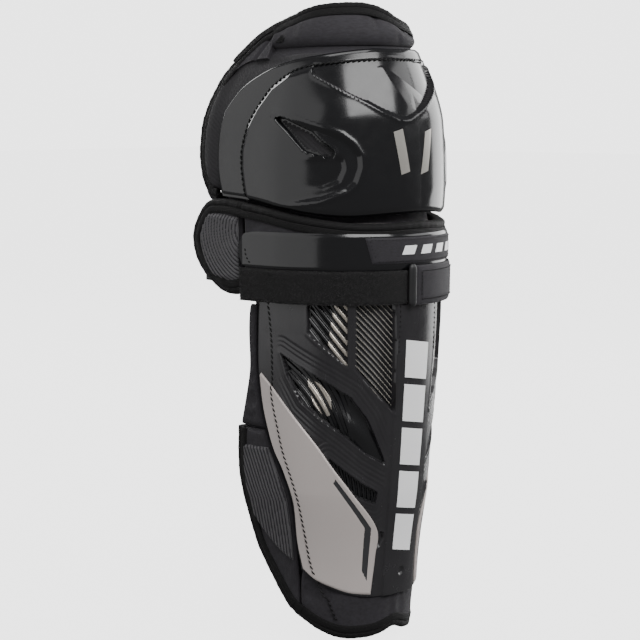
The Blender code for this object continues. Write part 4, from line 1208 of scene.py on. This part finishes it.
def fuzz(name, grid, level, count, body):
    """Brushed pile of the loop tape: many short curled fibres."""
    angle, height = grid
    rows = RNG.integers(0, angle.shape[0] - 1, count)
    columns = RNG.integers(0, angle.shape[1] - 1, count)
    angle = angle[rows, columns] + RNG.uniform(-0.8, 0.8, count)
    height = height[rows, columns] + RNG.uniform(-0.0006, 0.0006, count)
    height = np.clip(height, STRAP_LOW + 0.0006, STRAP_HIGH - 0.0004)
    root = place(angle, height, level)
    outward = normals(angle, height)
    lean = RNG.normal(0, 1, (count, 3))
    lean /= np.linalg.norm(lean, axis=1, keepdims=True)
    width = np.cross(outward, lean)
    width /= np.linalg.norm(width, axis=1, keepdims=True)
    size = RNG.uniform(0.0006, 0.0014, count)[:, None]
    middle = root + outward * size * 0.7 + lean * size * 0.35
    tip = root + outward * size * 0.6 + lean * size * 1.0
    thin = width * 0.00008
    vertices = np.stack([root - thin, root + thin, middle + thin, middle - thin, tip], 1).reshape(-1, 3)
    faces = []
    for start in range(0, count * 5, 5):
        faces.append((start, start + 1, start + 2, start + 3))
        faces.append((start + 3, start + 2, start + 4))
    thing = new_object(name, vertices, faces, MAT["fibre"], None, 0)
    attach(thing, body, "loop_webbing")


def build_strap():
    """Loop webbing with its pile, and the finish of the elastic."""
    grid = patch([(-24, STRAP_LOW), (117, STRAP_LOW)], [(-24, STRAP_HIGH), (117, STRAP_HIGH)], STRAP_STEP)
    angle, height = grid
    border = edge_distance(angle, height)
    lumps = RNG.normal(0, 0.00012, angle.shape)
    sag = 0.0003 * np.sin(angle * 0.11) + 0.0002 * np.sin(angle * 0.31 + 1)
    out = 0.003 + 0.001 * ease(0, 0.002, border) + lumps + sag
    strap = slab("loop_strap", grid, out, 0.0018, MAT["loop"], None, 60)
    attach(strap, "shin", "loop_webbing", "strap_loop")
    fuzz("loop_pile_fibres", grid, 0.0037, 9000, "shin")
    fit_uv("strap_elastic")
    refinish("strap_elastic", "elastic")


def tab_facets(angle):
    """Flat facets that the tab takes round the leg."""
    return 0.0006 * np.cos(angle / 9.0)


def tab_face(angle, height):
    """Level of the stitches on the tab."""
    return 0.0072 + tab_facets(angle)


def build_tab():
    """Pull tab with its sewn outline, rubber end bar and hook tape."""
    low, high = TAB_LOW, TAB_HIGH
    angle, height = grid = patch([(-50, low), (7, low)], [(-50, high), (7, high)], STRAP_STEP)
    border = edge_distance(angle, height)
    dome = 0.001 * ease(0, 0.002, border) + 0.0007 * ease(0.003, 0.0065, border)
    tab = slab("tab_face", grid, 0.0056 + dome + tab_facets(angle), 0.005, MAT["charcoal"])
    attach(tab, "tab", "charcoal_fabric", "strap_tab")
    foot, head = low + 0.0045, high - 0.0045
    outline = [(3.5, foot), (-44, foot), (-44, head), (3.5, head), (3.5, foot + 0.0005)]
    for index, (first, second) in enumerate(zip(outline, outline[1:])):
        stitches("tab_thread_%d" % index, [first, second], tab_face, "tab", *TAB_STITCH)
    centres, across, outward = path_frames([(9.6, low - 0.001), (9.6, high + 0.001)], 0.0064, 24)
    swell = np.sqrt(1 - np.linspace(-1, 1, 24) ** 8) * 0.5 + 0.5
    grip = tube("tab_grip", centres, across, outward, 0.0038 * swell, 0.0022 * swell, MAT["rubber"], 20, 0.75)
    attach(grip, "tab", "rubber_black", "strap_tab_grip")
    fit_uv("strap_tab_hook")
    refinish("strap_tab_hook", "loop")


# ---------------------------------------------------------------- stage

def build_stage():
    """Pale floor, soft lights and the camera."""
    scene = bpy.context.scene
    floor_material = make_material("studio_floor", (0.12, 0.12, 0.12), 0.9, Emission_Strength=3.0)
    shader_of(floor_material).inputs["Emission Color"].default_value = (1, 1, 1, 1)
    corners = [(-14, -14, 0.0), (14, -14, 0.0), (14, 14, 0.0), (-14, 14, 0.0)]
    floor = new_object("studio_floor", corners, [(0, 1, 2, 3)], floor_material, None, 0)
    floor.location.z = 0.004
    floor.visible_glossy = False
    floor.visible_diffuse = False
    world = bpy.data.worlds.new("studio")
    world.use_nodes = True
    nodes = world.node_tree.nodes
    links = world.node_tree.links
    nodes["Background"].inputs["Color"].default_value = (1.0, 1.0, 1.0, 1)
    rays = nodes.new("ShaderNodeLightPath")
    backdrop = nodes.new("ShaderNodeMapRange")
    backdrop.inputs["To Min"].default_value = 0.24
    backdrop.inputs["To Max"].default_value = 3.2
    links.new(rays.outputs["Is Camera Ray"], backdrop.inputs["Value"])
    links.new(backdrop.outputs["Result"], nodes["Background"].inputs["Strength"])
    scene.world = world
    lights = [
        ("left", (-2.3, 1.0, 0.8), 31, (4.0, 2.6)),
        ("top", (-0.5, -0.6, 2.8), 34, (2.0, 1.4)),
        ("front", (-0.68, -2.1, 1.9), 68, (2.3, 1.2)),
        ("fill", (1.9, -1.9, 1.4), 16, (1.6, 1.2)),
        ("right", (2.1, -0.2, 0.7), 38, (1.5, 1.9)),
        ("back", (0.4, 2.6, 1.5), 45, (1.8, 1.4)),
    ]
    for name, location, power, size in lights:
        data = bpy.data.lights.new(name, "AREA")
        data.shape = "RECTANGLE"
        data.size, data.size_y = size
        data.energy = power
        lamp = bpy.data.objects.new(name, data)
        lamp.location = location
        lamp.rotation_euler = (Vector((0, 0, 0.27)) - Vector(location)).to_track_quat("-Z", "Y").to_euler()
        scene.collection.objects.link(lamp)
    azimuth, elevation, distance = math.radians(-48), math.radians(6), 1.7
    back = Vector((math.sin(azimuth) * math.cos(elevation), -math.cos(azimuth) * math.cos(elevation),
                   math.sin(elevation)))
    right = Vector((math.cos(azimuth), math.sin(azimuth), 0))
    data = bpy.data.cameras.new("camera")
    data.sensor_width = 36
    data.lens = 115.8
    camera = bpy.data.objects.new("camera", data)
    camera.location = Vector((0, 0, 0.264)) - right * 0.019 + back * distance
    camera.rotation_euler = (-back).to_track_quat("-Z", "Y").to_euler()
    scene.collection.objects.link(camera)
    scene.camera = camera


build_cup()
build_shin()
build_band()
build_knee_soft()
build_flap()
build_folds()
build_wrap()
build_wing("outer", WING_LOWER, WING_UPPER, WING_REAR, 1)
build_wing("inner", INNER_WING_LOWER, INNER_WING_UPPER, INNER_WING_REAR, -1)
build_ankle()
build_calf("outer", 1)
build_calf("inner", -1)
build_liner()
build_strap()
build_tab()
build_stage()
